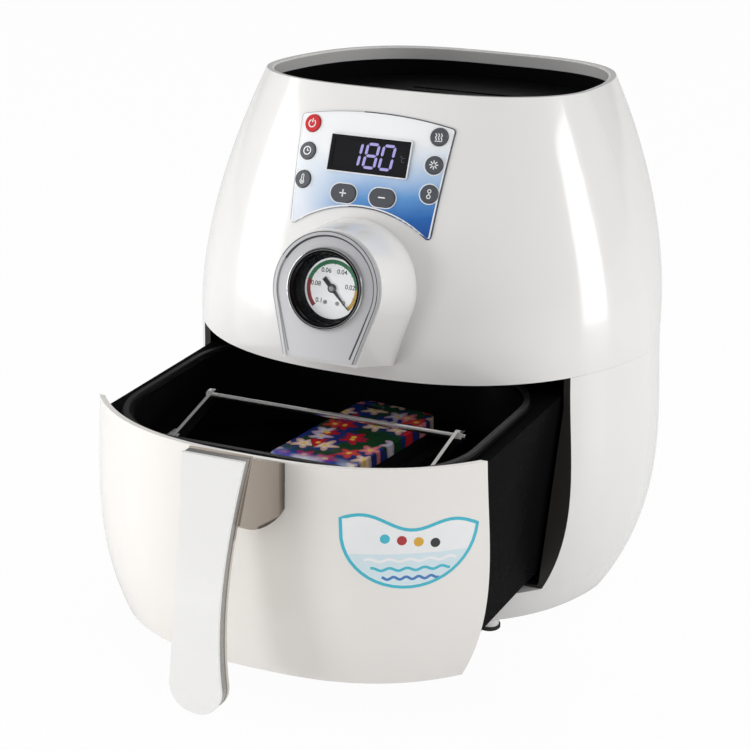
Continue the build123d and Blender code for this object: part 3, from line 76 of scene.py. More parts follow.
class Graph:
    """A node tree with short calls for adding and joining nodes."""

    def __init__(self, tree: bpy.types.NodeTree) -> None:
        """Wraps the tree to build in."""
        self.tree = tree

    def add(
        self, kind: str, settings: dict[str, object] | None = None, **inputs: Socket
    ) -> bpy.types.Node:
        """Adds a node, sets its options and fills its inputs.

        Args:
            kind: The node's type name.
            settings: Options that are set on the node itself.
            inputs: Values or sockets by input name, with _ for a space.

        Returns:
            The new node.
        """
        node = self.tree.nodes.new(kind)
        for key, value in (settings or {}).items():
            setattr(node, key, value)
        for key, value in inputs.items():
            self.feed(node.inputs[key.replace("_", " ")], value)
        return node

    def feed(self, socket: Output, value: Socket) -> None:
        """Links a socket to an input, or sets the input's own value.

        Args:
            socket: The input.
            value: What it gets.
        """
        if isinstance(value, Output):
            self.tree.links.new(value, socket)
        else:
            socket.default_value = value

    def operate(self, kind: str, operation: str, values: Sequence[Socket]) -> bpy.types.Node:
        """Adds a node that works on its inputs in order.

        Args:
            kind: The node's type name.
            operation: The node's operation.
            values: Its inputs from the first on.

        Returns:
            The new node.
        """
        node = self.add(kind, {"operation": operation})
        for socket, value in zip(node.inputs, values):
            self.feed(socket, value)
        return node

    def maths(self, operation: str, a: Socket, b: Socket = 0.0, c: Socket = 0.0) -> Output:
        """The result of a Math node."""
        return self.operate("ShaderNodeMath", operation, (a, b, c)).outputs[0]

    def vectors(self, operation: str, *values: Socket) -> bpy.types.Node:
        """Adds a Vector Math node."""
        return self.operate("ShaderNodeVectorMath", operation, values)

    def remap(
        self, value: Socket, low: float, high: float, to_low: float = 0.0, to_high: float = 1.0
    ) -> Output:
        """Maps a value from one range to another, held at its ends.

        Args:
            value: The value.
            low: Where the first range starts.
            high: Where it ends.
            to_low: Where the second range starts.
            to_high: Where it ends.

        Returns:
            The mapped value.
        """
        node = self.add("ShaderNodeMapRange", None, Value=value, From_Min=low, From_Max=high)
        node.inputs["To Min"].default_value = to_low
        node.inputs["To Max"].default_value = to_high
        return node.outputs[0]

    def mix(self, factor: Socket, a: Socket, b: Socket) -> Output:
        """Mixes two colours.

        Args:
            factor: The share of the second colour.
            a: The first colour.
            b: The second colour.

        Returns:
            The mixed colour.
        """
        node = self.add("ShaderNodeMix", {"data_type": "RGBA"})
        for index, value in ((0, factor), (6, a), (7, b)):
            if isinstance(value, tuple) and len(value) == 3:
                value = rgba(value)
            self.feed(node.inputs[index], value)
        return node.outputs[2]

    def ramp(
        self, factor: Socket, stops: Sequence[tuple[float, Colour]], stepped: bool = False
    ) -> Output:
        """Looks a colour up on a ramp.

        Args:
            factor: The place on the ramp, from 0 to 1.
            stops: Each stop's place and colour, in order.
            stepped: Whether each colour holds until the next stop.

        Returns:
            The colour.
        """
        node = self.add("ShaderNodeValToRGB")
        self.feed(node.inputs[0], factor)
        if stepped:
            node.color_ramp.interpolation = "CONSTANT"
        made = node.color_ramp.elements
        for stop, (spot, colour) in zip(made, (stops[0], stops[-1])):
            stop.position = spot
            stop.color = rgba(colour)
        for spot, colour in stops[1:-1]:
            made.new(spot).color = rgba(colour)
        return node.outputs[0]

    def noise(self, vector: Socket, scale: Socket, detail: float) -> bpy.types.Node:
        """Adds a noise texture."""
        return self.add("ShaderNodeTexNoise", None, Vector=vector, Scale=scale, Detail=detail)

    def group(self, tree: bpy.types.NodeTree, **inputs: Socket) -> bpy.types.NodeOutputs:
        """The outputs of a shared effect."""
        return self.add("ShaderNodeGroup", {"node_tree": tree}, **inputs).outputs

    def along(self, vector: Socket, direction: Sequence[float], offset: float = 0.0) -> Output:
        """How far a point lies along a unit direction, less an offset."""
        node = self.vectors("DOT_PRODUCT", vector, direction)
        return self.maths("SUBTRACT", node.outputs["Value"], offset)

    def split(self, vector: Socket) -> bpy.types.NodeOutputs:
        """A vector's parts, by their names X, Y and Z."""
        return self.add("ShaderNodeSeparateXYZ", None, Vector=vector).outputs

    def place(self) -> Output:
        """The point in the object's own frame, in metres."""
        return self.add("ShaderNodeTexCoord").outputs["Object"]

    def normal(self) -> Output:
        """The surface's direction."""
        return self.add("ShaderNodeNewGeometry").outputs["Normal"]


def new_group(
    name: str, inputs: dict[str, float], outputs: Sequence[str]
) -> tuple[Graph, dict, dict]:
    """Makes an empty shader group with number sockets.

    Args:
        name: The group's name.
        inputs: Default values by input name.
        outputs: The outputs' names.

    Returns:
        The graph, its input sockets by name and its output sockets by name.
    """
    tree = bpy.data.node_groups.new(name, "ShaderNodeTree")
    number = "NodeSocketFloat"
    for key, value in inputs.items():
        socket = tree.interface.new_socket(name=key, in_out="INPUT", socket_type=number)
        socket.default_value = value
    for key in outputs:
        tree.interface.new_socket(name=key, in_out="OUTPUT", socket_type=number)
    graph = Graph(tree)
    entry = graph.add("NodeGroupInput").outputs
    leave = graph.add("NodeGroupOutput").inputs
    return graph, {key: entry[key] for key in inputs}, {key: leave[key] for key in outputs}


def build_moulded_grain() -> bpy.types.NodeTree:
    """The fine spark-eroded grain of a moulding, with faint long waves.

    Returns:
        The group's tree: Height for a bump and Smudge from 0 to 1 for a gloss change.
    """
    inputs = {"Grain Scale": 900.0, "Smudge Scale": 14.0}
    graph, given, out = new_group("moulded_grain", inputs, ("Height", "Smudge"))
    place = graph.place()
    grain = graph.noise(place, given["Grain Scale"], 3.0)
    wave = graph.noise(place, 9.0, 1.0)
    smudge = graph.noise(place, given["Smudge Scale"], 5.0)
    smudge.inputs["Roughness"].default_value = 0.62
    height = graph.maths("MULTIPLY_ADD", wave.outputs[0], 0.6, grain.outputs[0])
    graph.feed(out["Height"], height)
    graph.feed(out["Smudge"], graph.remap(smudge.outputs[0], 0.35, 0.68))
    return graph.tree


def build_brushed_lines() -> bpy.types.NodeTree:
    """Long fine scratches along one axis, as on drawn or brushed metal.

    Returns:
        The group's tree: Height for a bump and Tone from 0 to 1.
    """
    inputs = {"Along X": 1.0, "Along Y": 1.0, "Along Z": 1.0, "Scale": 60.0}
    graph, given, out = new_group("brushed_lines", inputs, ("Height", "Tone"))
    scale = graph.add("ShaderNodeCombineXYZ")
    for axis in "XYZ":
        graph.feed(scale.inputs[axis], given[f"Along {axis}"])
    stretch = graph.vectors("MULTIPLY", graph.place(), scale.outputs[0])
    fine = graph.noise(stretch.outputs[0], given["Scale"], 6.0)
    graph.feed(out["Height"], fine.outputs[0])
    graph.feed(out["Tone"], graph.remap(fine.outputs[0], 0.3, 0.7))
    return graph.tree


def build_dust_specks() -> bpy.types.NodeTree:
    """Sparse small specks and settled dust on faces that look up.

    Returns:
        The group's tree: Mask from 0 to 1.
    """
    graph, given, out = new_group("dust_specks", {"Amount": 0.2, "Speck Scale": 420.0}, ("Mask",))
    place = graph.place()
    specks = graph.add("ShaderNodeTexVoronoi", None, Vector=place, Scale=given["Speck Scale"])
    cloud = graph.noise(place, 30.0, 4.0)
    level = graph.remap(graph.along(graph.normal(), (0.0, 0.0, 1.0)), 0.2, 0.95)
    dots = graph.remap(specks.outputs["Distance"], 0.16, 0.08)
    haze = graph.remap(cloud.outputs[0], 0.45, 0.75, 0.0, 0.6)
    spots = graph.maths("MULTIPLY", dots, haze)
    both = graph.maths("MAXIMUM", spots, graph.maths("MULTIPLY", haze, 0.4))
    settled = graph.maths("MULTIPLY", both, level)
    graph.feed(out["Mask"], graph.maths("MULTIPLY", settled, given["Amount"]))
    return graph.tree


GRAIN = build_moulded_grain()
BRUSHED = build_brushed_lines()
DUST = build_dust_specks()


class Paint(Graph):
    """The graph of a new material, with calls that feed its Principled shader."""

    def __init__(self, name: str) -> None:
        """Makes the material.

        Args:
            name: The material's name.
        """
        self.material = bpy.data.materials.new(name)
        self.material.use_nodes = True
        super().__init__(self.material.node_tree)
        self.shader = self.tree.nodes["Principled BSDF"]

    def surface(self, **inputs: Socket) -> None:
        """Feeds the shader's own sockets, with _ for a space in their names."""
        for key, value in inputs.items():
            self.feed(self.shader.inputs[key.replace("_", " ")], value)

    def gloss(self, mask: Socket, swing: float, base: Socket) -> None:
        """Sets the roughness: a base, and a swing more where the mask is 1."""
        self.surface(Roughness=self.maths("MULTIPLY_ADD", mask, swing, base))

    def bump(self, height: Socket, strength: float, distance: float = 0.001) -> None:
        """Roughens the surface's direction by a height."""
        node = self.add("ShaderNodeBump", None, Height=height, Strength=strength, Distance=distance)
        self.surface(Normal=node.outputs[0])

    def grained(self, scale: float, swing: float, base: float, depth: float = 0.0) -> Output:
        """Gives the surface a moulding's grain and uneven gloss.

        Args:
            scale: The grain's scale.
            swing: How much rougher the smudges are.
            base: The roughness beside them.
            depth: The grain's strength, or 0 for none.

        Returns:
            The smudges, from 0 to 1.
        """
        grain = self.group(GRAIN, Grain_Scale=scale)
        self.gloss(grain["Smudge"], swing, base)
        if depth:
            self.bump(grain["Height"], depth)
        return grain["Smudge"]

    def smudged(self, colour: Colour, smudge: Socket) -> Output:
        """A colour that is slightly darker in the smudges."""
        return self.mix(self.maths("MULTIPLY", smudge, 0.05), colour, darker(colour, 0.85))


# ---------------------------------------------------------------- finishes
@dataclass(frozen=True)
class Surface:
    """A finish, which is built as one Blender material."""

    name: str

    def material(self) -> bpy.types.Material:
        """Builds the finish.

        Returns:
            The material.
        """
        on = Paint(self.name)
        self.paint(on)
        return on.material

    def paint(self, on: Paint) -> None:
        """Feeds the shader. Each finish has its own way."""
        raise NotImplementedError


@dataclass(frozen=True)
class Moulding(Surface):
    """An injection-moulded plastic or rubber surface."""

    colour: Colour
    roughness: float = 0.3
    smudge: float = 0.05
    grain_scale: float = 900.0
    grain_depth: float = 0.02
    coat: float = 0.0
    dust: float = 0.0
    shine: float = 0.5
    dust_colour: Colour = (0.16, 0.16, 0.15)

    def paint(self, on: Paint) -> None:
        """Grain and smudges, with dust where it has any.

        Args:
            on: The material that is painted.
        """
        smudge = on.grained(self.grain_scale, self.smudge, self.roughness, self.grain_depth)
        colour = on.smudged(self.colour, smudge)
        if self.dust:
            settled = on.group(DUST, Amount=self.dust)
            colour = on.mix(settled["Mask"], colour, self.dust_colour)
        on.surface(Base_Color=colour, Specular_IOR_Level=self.shine)
        on.surface(Coat_Weight=self.coat, Coat_Roughness=0.06)


@dataclass(frozen=True)
class LippedMoulding(Surface):
    """A dark moulding whose upper lip is painted pale, down to an even line."""

    colour: Colour = (0.006, 0.006, 0.007)
    lip_colour: Colour = (0.86, 0.85, 0.84)
    front: float = 0.1115
    height: float = 0.378
    tilt: float = 4.17
    lip: float = 0.010
    fade: float = 0.0002

    def paint(self, on: Paint) -> None:
        """Pale above a tilted level, dark below it.

        Args:
            on: The material that is painted.
        """
        normal = Vector((0.0, sin(radians(self.tilt)), cos(radians(self.tilt))))
        level = Vector((0.0, -self.front, self.height)).dot(normal) - self.lip
        above = on.remap(on.along(on.place(), normal, level), -self.fade, self.fade)
        on.grained(800.0, 0.08, 0.3, 0.02)
        on.surface(Base_Color=on.mix(above, self.colour, self.lip_colour), Specular_IOR_Level=0.25)


@dataclass(frozen=True)
class MetalFinish(Surface):
    """A drawn, brushed, cast or plated metal surface."""

    colour: Colour
    roughness: float = 0.25
    metallic: float = 1.0
    stretch: Point3 = (1.0, 1.0, 1.0)
    scale: float = 60.0
    depth: float = 0.05
    streak: float = 0.12

    def paint(self, on: Paint) -> None:
        """Fine lines in the tone, the gloss and the relief.

        Args:
            on: The material that is painted.
        """
        x, y, z = self.stretch
        lines = on.group(BRUSHED, Scale=self.scale, Along_X=x, Along_Y=y, Along_Z=z)
        lined = on.mix(lines["Tone"], darker(self.colour, 0.72), self.colour)
        on.gloss(lines["Tone"], self.streak, self.roughness)
        on.bump(lines["Height"], self.depth, 0.0005)
        on.surface(Base_Color=on.mix(0.35, self.colour, lined), Metallic=self.metallic)


@dataclass(frozen=True)
class BadgeSilver(Surface):
    """Satin silver lacquer with a painted reflection: bright on its left and foot, darker to its
    right and top.
    """

    light: Colour = (0.84, 0.84, 0.86)
    dark: Colour = (0.50, 0.50, 0.52)
    half_width: float = 0.038
    foot: float = 0.22
    head: float = 0.30

    def paint(self, on: Paint) -> None:
        """A painted reflection: a soft run of tone across and up, drifting a little.

        Args:
            on: The material that is painted.
        """
        parts = on.split(on.place())
        # Painted reflection: the colour darkens from left to right and from foot to head.
        across = on.remap(parts["X"], -self.half_width, self.half_width, 0.0, 0.75)
        upward = on.remap(parts["Z"], self.foot, self.head, 0.0, 0.45)
        soft = on.noise(on.place(), 14.0, 1.0)
        drift = on.maths("MULTIPLY_ADD", soft.outputs[0], 0.2, -0.1)
        share = on.maths("ADD", on.maths("ADD", across, upward), drift)
        on.gloss(on.group(BRUSHED, Scale=1500.0)["Tone"], 0.04, 0.3)
        on.surface(Base_Color=on.mix(share, self.light, self.dark), Metallic=0.15)


@dataclass(frozen=True)
class RingedMetal(Surface):
    """Plated metal painted in rings round an axis: dark rings, partly a black ring and partly
    painted reflection, and thin bright painted glints.
    """

    centre: Point3
    normal: Point3
    bands: tuple[Point2, ...]
    reach: float = 0.03
    roughness: float = 0.09

    def paint(self, on: Paint) -> None:
        """A painted tone for each ring, by the distance from the axis.

        Args:
            on: The material that is painted.
        """
        offset = on.vectors("SUBTRACT", on.place(), self.centre).outputs[0]
        whole = on.vectors("LENGTH", offset).outputs["Value"]
        depth = on.along(offset, self.normal)
        far = on.maths("MULTIPLY", whole, whole)
        square = on.maths("SUBTRACT", far, on.maths("MULTIPLY", depth, depth))
        radius = on.maths("SQRT", on.maths("MAXIMUM", square, 0.0))
        # Painted reflection: the thin bright rings are painted glints beside the dark rings.
        stops = [(edge / self.reach, (tone,) * 3) for edge, tone in self.bands]
        painted_glint_rings = on.ramp(on.maths("DIVIDE", radius, self.reach), stops, True)
        on.gloss(on.group(BRUSHED, Scale=400.0)["Tone"], 0.04, self.roughness)
        on.surface(Base_Color=painted_glint_rings, Metallic=1.0)


@dataclass(frozen=True)
class CutHousing(Surface):
    """The white housing whose cut faces round the drawer opening are dark."""

    colour: Colour = (0.85, 0.84, 0.825)
    cut_colour: Colour = (0.020, 0.016, 0.013)
    cut_front: float = -0.1142
    cut_back: float = -0.1035

    def paint(self, on: Paint) -> None:
        """White moulding, with the faces that look into the opening dark and dull.

        Args:
            on: The material that is painted.
        """
        parts = on.split(on.place())
        facing = on.split(on.normal())
        face = on.maths("LESS_THAN", parts["Y"], self.cut_front)
        inward = on.maths("MULTIPLY", parts["X"], facing["X"])
        inner = on.maths("LESS_THAN", inward, -0.01)
        level = on.maths("GREATER_THAN", facing["Z"], 0.9)
        edge = on.maths("LESS_THAN", parts["Y"], self.cut_back)
        turned = on.maths("MULTIPLY", edge, on.maths("MAXIMUM", inner, level))
        mask = on.maths("MAXIMUM", face, turned)
        grain = on.group(GRAIN, Grain_Scale=700.0)
        white = on.smudged(self.colour, grain["Smudge"])
        on.gloss(mask, 0.3, on.maths("MULTIPLY_ADD", grain["Smudge"], 0.05, 0.17))
        on.bump(grain["Height"], 0.012)
        on.surface(Base_Color=on.mix(mask, white, self.cut_colour))
        on.surface(Coat_Weight=on.maths("MULTIPLY_ADD", mask, -0.5, 0.5))


@dataclass(frozen=True)
class NeckMoulding(Surface):
    """The handle's beige back and neck, with painted shade towards the neck's right side, and brown
    edges.
    """

    light: Colour = (0.56, 0.49, 0.42)
    dark: Colour = (0.27, 0.22, 0.18)
    back: Colour = (0.60, 0.56, 0.50)
    edge_colour: Colour = (0.045, 0.028, 0.018)
    half_width: float = 0.028
    edge: float = 0.0012
    foot: float = 0.1535
    neck_half: float = 0.022

    def paint(self, on: Paint) -> None:
        """The neck's painted shade, darker to its right, the back below it and the brown edges.

        Args:
            on: The material that is painted.
        """
        parts = on.split(on.place())
        # Painted shade: the neck darkens from its middle to its right side.
        neck = on.mix(on.remap(parts["X"], 0.0, self.half_width), self.light, self.dark)
        below = on.remap(parts["Z"], self.foot - 0.003, self.foot - 0.001, 1.0, 0.0)
        body = on.mix(below, neck, self.back)
        off_middle = on.maths("ABSOLUTE", parts["X"])
        rim_start, rim_end = self.half_width - self.edge, self.half_width - 0.5 * self.edge
        side = on.remap(off_middle, rim_start, rim_end)
        low = on.remap(parts["Z"], self.foot, self.foot + 0.001, 1.0, 0.0)
        wide = on.remap(off_middle, self.neck_half, self.neck_half + 0.0005)
        rim = on.maths("MAXIMUM", side, on.maths("MULTIPLY", low, wide))
        on.grained(900.0, 0.06, 0.22, 0.02)
        on.surface(Base_Color=on.mix(rim, body, self.edge_colour), Coat_Weight=0.2)


@dataclass(frozen=True)
class ClearPane(Surface):
    """Glass or clear plastic."""

    colour: Colour
    roughness: float = 0.02
    opacity: float = 0.12
    smear_colour: Colour = (0.9, 0.93, 0.95)

    def paint(self, on: Paint) -> None:
        """Faint smears on a nearly clear pane.

        Args:
            on: The material that is painted.
        """
        smear = on.group(GRAIN, Smudge_Scale=40.0)["Smudge"]
        on.gloss(smear, 0.03, self.roughness)
        on.surface(Base_Color=on.mix(smear, self.colour, self.smear_colour))
        on.surface(Alpha=on.maths("MULTIPLY_ADD", smear, 0.01, self.opacity))


@dataclass(frozen=True)
class Ink(Surface):
    """A printed or lit mark; the dial card's glow is painted light."""

    colour: Colour
    roughness: float = 0.35
    glow: float = 0.0

    def paint(self, on: Paint) -> None:
        """Ink that is faded a little in places.

        Args:
            on: The material that is painted.
        """
        smudge = on.grained(2400.0, 0.08, self.roughness)
        faded = tuple(min(1.0, channel * 0.9 + 0.03) for channel in self.colour)
        colour = on.mix(smudge, self.colour, faded)
        on.surface(Base_Color=colour)
        # Emission: the display's own light on its digits; on the dial card it is painted light.
        if self.glow:
            on.surface(Emission_Color=colour, Emission_Strength=self.glow)


@dataclass(frozen=True)
class OverlayPrint(Surface):
    """The control overlay's print: white above, running to strong blue at its lower right."""

    plane: Placement
    side_colour: Colour = (0.10, 0.11, 0.13)
    pale_colour: Colour = (0.88, 0.91, 0.94)
    slant: float = -0.16
    stops: tuple[tuple[float, Colour], ...] = (
        (0.0, (0.010, 0.085, 0.36)),
        (0.2, (0.022, 0.14, 0.46)),
        (0.42, (0.12, 0.32, 0.66)),
        (0.68, (0.50, 0.64, 0.84)),
        (1.0, (0.93, 0.94, 0.95)),
    )

    def paint(self, on: Paint) -> None:
        """A slanting run of blue, paler at the left, with painted shade on the dark side faces.

        Args:
            on: The material that is painted.
        """
        place = on.place()
        across, upward = self.plane.measured(on, place)
        cloud = on.noise(place, 38.0, 3.0)
        drift = on.maths("MULTIPLY_ADD", cloud.outputs[0], 0.010, -0.005)
        slope = on.maths("MULTIPLY_ADD", across, self.slant, on.maths("ADD", upward, drift))
        blue = on.ramp(on.remap(slope, -0.042, 0.020), self.stops)
        toward = on.maths("MULTIPLY_ADD", upward, 0.5, across)
        printed = on.mix(on.remap(toward, -0.016, -0.056, 0.0, 0.85), blue, self.pale_colour)
        # Painted shade: faces turned away from the overlay's face take the dark side colour.
        side = on.maths("LESS_THAN", on.along(on.normal(), self.plane.out), 0.6)
        on.grained(1600.0, 0.06, 0.22, 0.02)
        on.surface(Base_Color=on.mix(side, printed, self.side_colour))


@dataclass(frozen=True)
class WindowFrame(Surface):
    """The display's frame: black beside the window, with a bright line at its outer edge."""

    plane: Placement
    reach: Point2
    colour: Colour = (0.008, 0.008, 0.010)
    line_colour: Colour = (0.85, 0.85, 0.86)

    def paint(self, on: Paint) -> None:
        """Black up to the reach and bright past it.

        Args:
            on: The material that is painted.
        """
        past = [
            on.maths("SUBTRACT", on.maths("ABSOLUTE", away), reach * MM)
            for away, reach in zip(self.plane.measured(on, on.place()), self.reach)
        ]
        line = on.maths("GREATER_THAN", on.maths("MAXIMUM", *past), 0.0)
        on.grained(1600.0, 0.06, 0.18)
        on.surface(Base_Color=on.mix(line, self.colour, self.line_colour))


@dataclass(frozen=True)
class CoverPrint(Surface):
    """A glossy print of plain five-petalled flowers over leaves, with a blue band."""

    turn: float = -7.0
    middle: float = -0.205
    flower_scale: float = 62.0
    petals: float = 5.0
    petal_colours: tuple[tuple[float, Colour], ...] = (
        (0.0, (0.55, 0.02, 0.035)),
        (0.3, (0.80, 0.30, 0.32)),
        (0.5, (0.84, 0.72, 0.60)),
        (0.7, (0.70, 0.08, 0.06)),
        (0.85, (0.60, 0.66, 0.86)),
    )
    petal_foot: Colour = (0.25, 0.01, 0.02)
    heart: Colour = (0.80, 0.50, 0.08)
    leaves: tuple[Colour, Colour] = ((0.012, 0.05, 0.020), (0.015, 0.030, 0.16))
    sea: tuple[Colour, Colour] = ((0.03, 0.06, 0.45), (0.75, 0.8, 0.9))

    def flowers(self, on: Paint, place: Output, bend: bpy.types.Node) -> Output:
        """Draws the flowers over their ground of leaves.

        Args:
            on: The material that is painted.
            place: The point on the cover.
            bend: The noise that shifts the flowers out of line.

        Returns:
            The colour of flowers and leaves.
        """
        moved = bend.outputs["Color"]
        shifted = on.vectors("MULTIPLY_ADD", moved, (0.006, 0.006, 0.0), place).outputs[0]
        flat = {"voronoi_dimensions": "2D"}
        texture = on.add("ShaderNodeTexVoronoi", flat, Vector=shifted, Scale=self.flower_scale)
        cells = texture.outputs
        parts = on.split(on.vectors("SUBTRACT", shifted, cells["Position"]).outputs[0])
        turn = on.maths("MULTIPLY", on.maths("ARCTAN2", parts["Y"], parts["X"]), self.petals)
        reach = on.maths("MULTIPLY_ADD", on.maths("COSINE", turn), 0.24, 0.76)
        away = on.maths("DIVIDE", cells["Distance"], reach)
        pick = on.add("ShaderNodeSeparateColor", None, Color=cells["Color"])
        petal = on.ramp(pick.outputs[0], self.petal_colours, True)
        shaded = on.mix(on.remap(away, 0.1, 0.5, 0.0, 0.6), petal, self.petal_foot)
        ground = on.mix(on.remap(bend.outputs[0], 0.44, 0.50), *self.leaves)
        over = on.mix(on.remap(away, 0.60, 0.57), ground, shaded)
        return on.mix(on.remap(cells["Distance"], 0.13, 0.10), over, self.heart)

    def paint(self, on: Paint) -> None:
        """Flowers, with a band of blue at the cover's near end.

        Args:
            on: The material that is painted.
        """
        place = on.place()
        bend = on.noise(place, 45.0, 2.0)
        spread = bend.outputs[0]
        flowers = self.flowers(on, place, bend)
        lengthwise = (sin(radians(-self.turn)), cos(radians(self.turn)), 0.0)
        band = on.remap(on.along(place, lengthwise, self.middle), -0.020, -0.036)
        sea = on.mix(on.remap(spread, 0.4, 0.6), *self.sea)
        on.surface(Base_Color=on.mix(band, flowers, sea))
        on.surface(Roughness=on.remap(spread, 0.3, 0.7, 0.12, 0.2))


BUILT: dict[str, bpy.types.Material] = {}
EVEN: Point3 = (1.0, 1.0, 1.0)


class Finish(Enum):
    """The finishes of the record's material slots, and those of the marks."""

    HOUSING_WHITE = Moulding("housing_white", (0.85, 0.84, 0.825), 0.17, 0.05, 700.0, 0.012, 0.5)
    DRAWER_WHITE = Moulding("drawer_white", (0.87, 0.845, 0.81), 0.15, 0.05, 700.0, 0.012, 0.3)
    BLACK_GLOSS = Moulding(
        "black_gloss", (0.0045, 0.0045, 0.005), 0.24, 0.10, 800.0, 0.02, 0.0, 0.02, 0.002
    )
    BLACK_MATTE = Moulding(
        "black_matte", (0.008, 0.008, 0.009), 0.4, 0.12, 1200.0, 0.05, 0.0, 0.05, 0.0
    )
    PAN_COAT = Moulding(
        "pan_coat", (0.003, 0.003, 0.0035), 0.42, 0.12, 1500.0, 0.08, 0.0, 0.10, 0.08
    )
    TOP_INSERT = LippedMoulding("top_insert_black")
    HANDLE_WHITE = Moulding("handle_white", (0.87, 0.865, 0.855), 0.14, 0.05, 700.0, 0.01, 0.4)
    HANDLE_CREAM = NeckMoulding("handle_cream")
    CUT_HOUSING = CutHousing("cut_housing")
    HANDLE_SILVER = MetalFinish(
        "handle_silver", (0.46, 0.45, 0.435), 0.2, 0.8, EVEN, 900.0, 0.006, 0.06
    )
    SILVER = BadgeSilver("silver")
    CHROME_TRIM = MetalFinish("chrome_trim", (0.80, 0.81, 0.83), 0.06, 1.0, EVEN, 90.0, 0.01, 0.05)
    BRIGHT_STEEL = MetalFinish("bright_steel", (0.86, 0.85, 0.83), 0.14, 1.0, (0.4, 9.0, 9.0), 90.0)
    INNER_STEEL = MetalFinish(
        "inner_steel", (0.52, 0.53, 0.54), 0.34, 1.0, (1.0, 6.0, 6.0), 60.0, 0.06, 0.2
    )
    DIAL_WHITE = Moulding("dial_white", (0.88, 0.88, 0.87), 0.55, 0.1, 2600.0, 0.06)
    NEEDLE_BLACK = Moulding("needle_black", (0.012, 0.012, 0.013), 0.35, 0.1, 1500.0, 0.05)
    CLEAR_GLASS = ClearPane("clear_glass", (0.35, 0.38, 0.40), 0.02, 0.02)
    SMOKED_WINDOW = Moulding("smoked_window", (0.008, 0.008, 0.010), 0.07, 0.04, 700.0, 0.004, 0.3)
    BUTTON_GREY = Moulding("button_grey", (0.085, 0.092, 0.105), 0.26, 0.08, 1100.0, 0.04, 0.2)
    BUTTON_RED = Moulding("button_red", (0.62, 0.012, 0.02), 0.2, 0.06, 1100.0, 0.03, 0.4)
    RUBBER_BLACK = Moulding("rubber_black", (0.02, 0.02, 0.02), 0.72, 0.12, 1800.0, 0.25, 0.0, 0.3)
    SEAL_BLACK = Moulding("seal_black", (0.010, 0.010, 0.011), 0.45, 0.1, 1500.0, 0.1)
    CIRCUIT_GREEN = Moulding("circuit_green", (0.012, 0.11, 0.035), 0.35, 0.1, 2200.0, 0.15)
    MOTOR_STEEL = MetalFinish(
        "motor_steel", (0.26, 0.27, 0.29), 0.4, 0.7, (1.0, 1.0, 5.0), 70.0, 0.06, 0.15
    )
    BRASS_FITTING = MetalFinish(
        "brass_fitting", (0.66, 0.48, 0.20), 0.28, 1.0, EVEN, 200.0, 0.05, 0.15
    )
    HOSE_CLEAR = Moulding("hose_clear", (0.62, 0.62, 0.58), 0.35, 0.1, 600.0, 0.04)
    MOULD_METAL = Moulding("mould_metal", (0.012, 0.012, 0.013), 0.38, 0.1, 1400.0, 0.08, 0.0, 0.1)
    COVER_PRINT = CoverPrint("cover_print")
    TERMINAL_BLACK = Moulding("terminal_black", (0.016, 0.016, 0.017), 0.42, 0.1, 1200.0, 0.1)
    SCREW_ZINC = MetalFinish("screw_zinc", (0.60, 0.60, 0.57), 0.3, 1.0, EVEN, 300.0, 0.06, 0.2)
    MARK_WHITE = Ink("mark_white", (0.93, 0.94, 0.95))
    MARK_BLACK = Ink("mark_black", (0.02, 0.02, 0.022), 0.45)
    MARK_RED = Ink("mark_red", (0.45, 0.02, 0.025), 0.45)
    MARK_GREEN = Ink("mark_green", (0.012, 0.26, 0.09), 0.45)
    MARK_YELLOW = Ink("mark_yellow", (0.75, 0.42, 0.03), 0.45)
    MARK_KEYLINE = Ink("mark_keyline", (0.05, 0.06, 0.08), 0.4)
    # Inks for painted shade lines: dark on the shaded side, faint on the lit side.
    MARK_GROOVE = Ink("mark_painted_shade", (0.06, 0.06, 0.065), 0.4)
    MARK_GREY = Ink("mark_faint_shade", (0.38, 0.38, 0.40), 0.4)
    # The dial card's small glow is painted light: it brightens the card in the shade of its deep
    # case.
    DIAL_CARD = Ink("dial_card", (0.88, 0.89, 0.90), 0.5, 0.24)
    MARK_CYAN = Ink("mark_cyan", (0.05, 0.52, 0.66), 0.3)
    MARK_PALE = Ink("mark_pale", (0.72, 0.86, 0.92), 0.3)
    MARK_BLUE = Ink("mark_blue", (0.05, 0.20, 0.52), 0.3)
    DIGIT_LIT = Ink("digit_lit", (0.26, 0.235, 0.50), 0.4, 0.6)
    DIGIT_DIM = Ink("digit_dim", (0.06, 0.06, 0.08), 0.4, 0.05)

    @property
    def made(self) -> bpy.types.Material:
        """The finish's material, built when it is first asked for.

        Returns:
            The material.
        """
        if self.name not in BUILT:
            BUILT[self.name] = self.value.material()
        return BUILT[self.name]


# ---------------------------------------------------------------- adding pieces
def linked(name: str, data: bpy.types.ID) -> bpy.types.Object:
    """Makes an object and puts it in the scene.

    Args:
        name: Its name.
        data: Its mesh, curve, lamp or camera.

    Returns:
        The object.
    """
    made = bpy.data.objects.new(name, data)
    bpy.context.scene.collection.objects.link(made)
    return made


def mesh_of(name: str, build: bmesh.types.BMesh) -> bpy.types.Mesh:
    """Turns a mesh under construction into a finished one.

    Args:
        name: Its name.
        build: The mesh under construction, which is freed.

    Returns:
        The finished mesh.
    """
    mesh = bpy.data.meshes.new(name)
    build.to_mesh(mesh)
    build.free()
    return mesh


def dress(piece: bpy.types.Object, material: bpy.types.Material) -> None:
    """Gives a piece one material."""
    piece.data.materials.clear()
    piece.data.materials.append(material)


def enlist(piece: bpy.types.Object, body: str, finish: Finish) -> None:
    """Args:
        piece: The piece.
        body: The body that it rides on.
        finish: Its finish.
    """
    dress(piece, finish.made)
    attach(piece, body)
    log.info("%s rides on %s", piece.name, body)


def on_circle(radius: float, turn: float, centre: Point2 = (0.0, 0.0)) -> Point2:
    """The point of a circle at an angle in radians."""
    return (centre[0] + radius * cos(turn), centre[1] + radius * sin(turn))


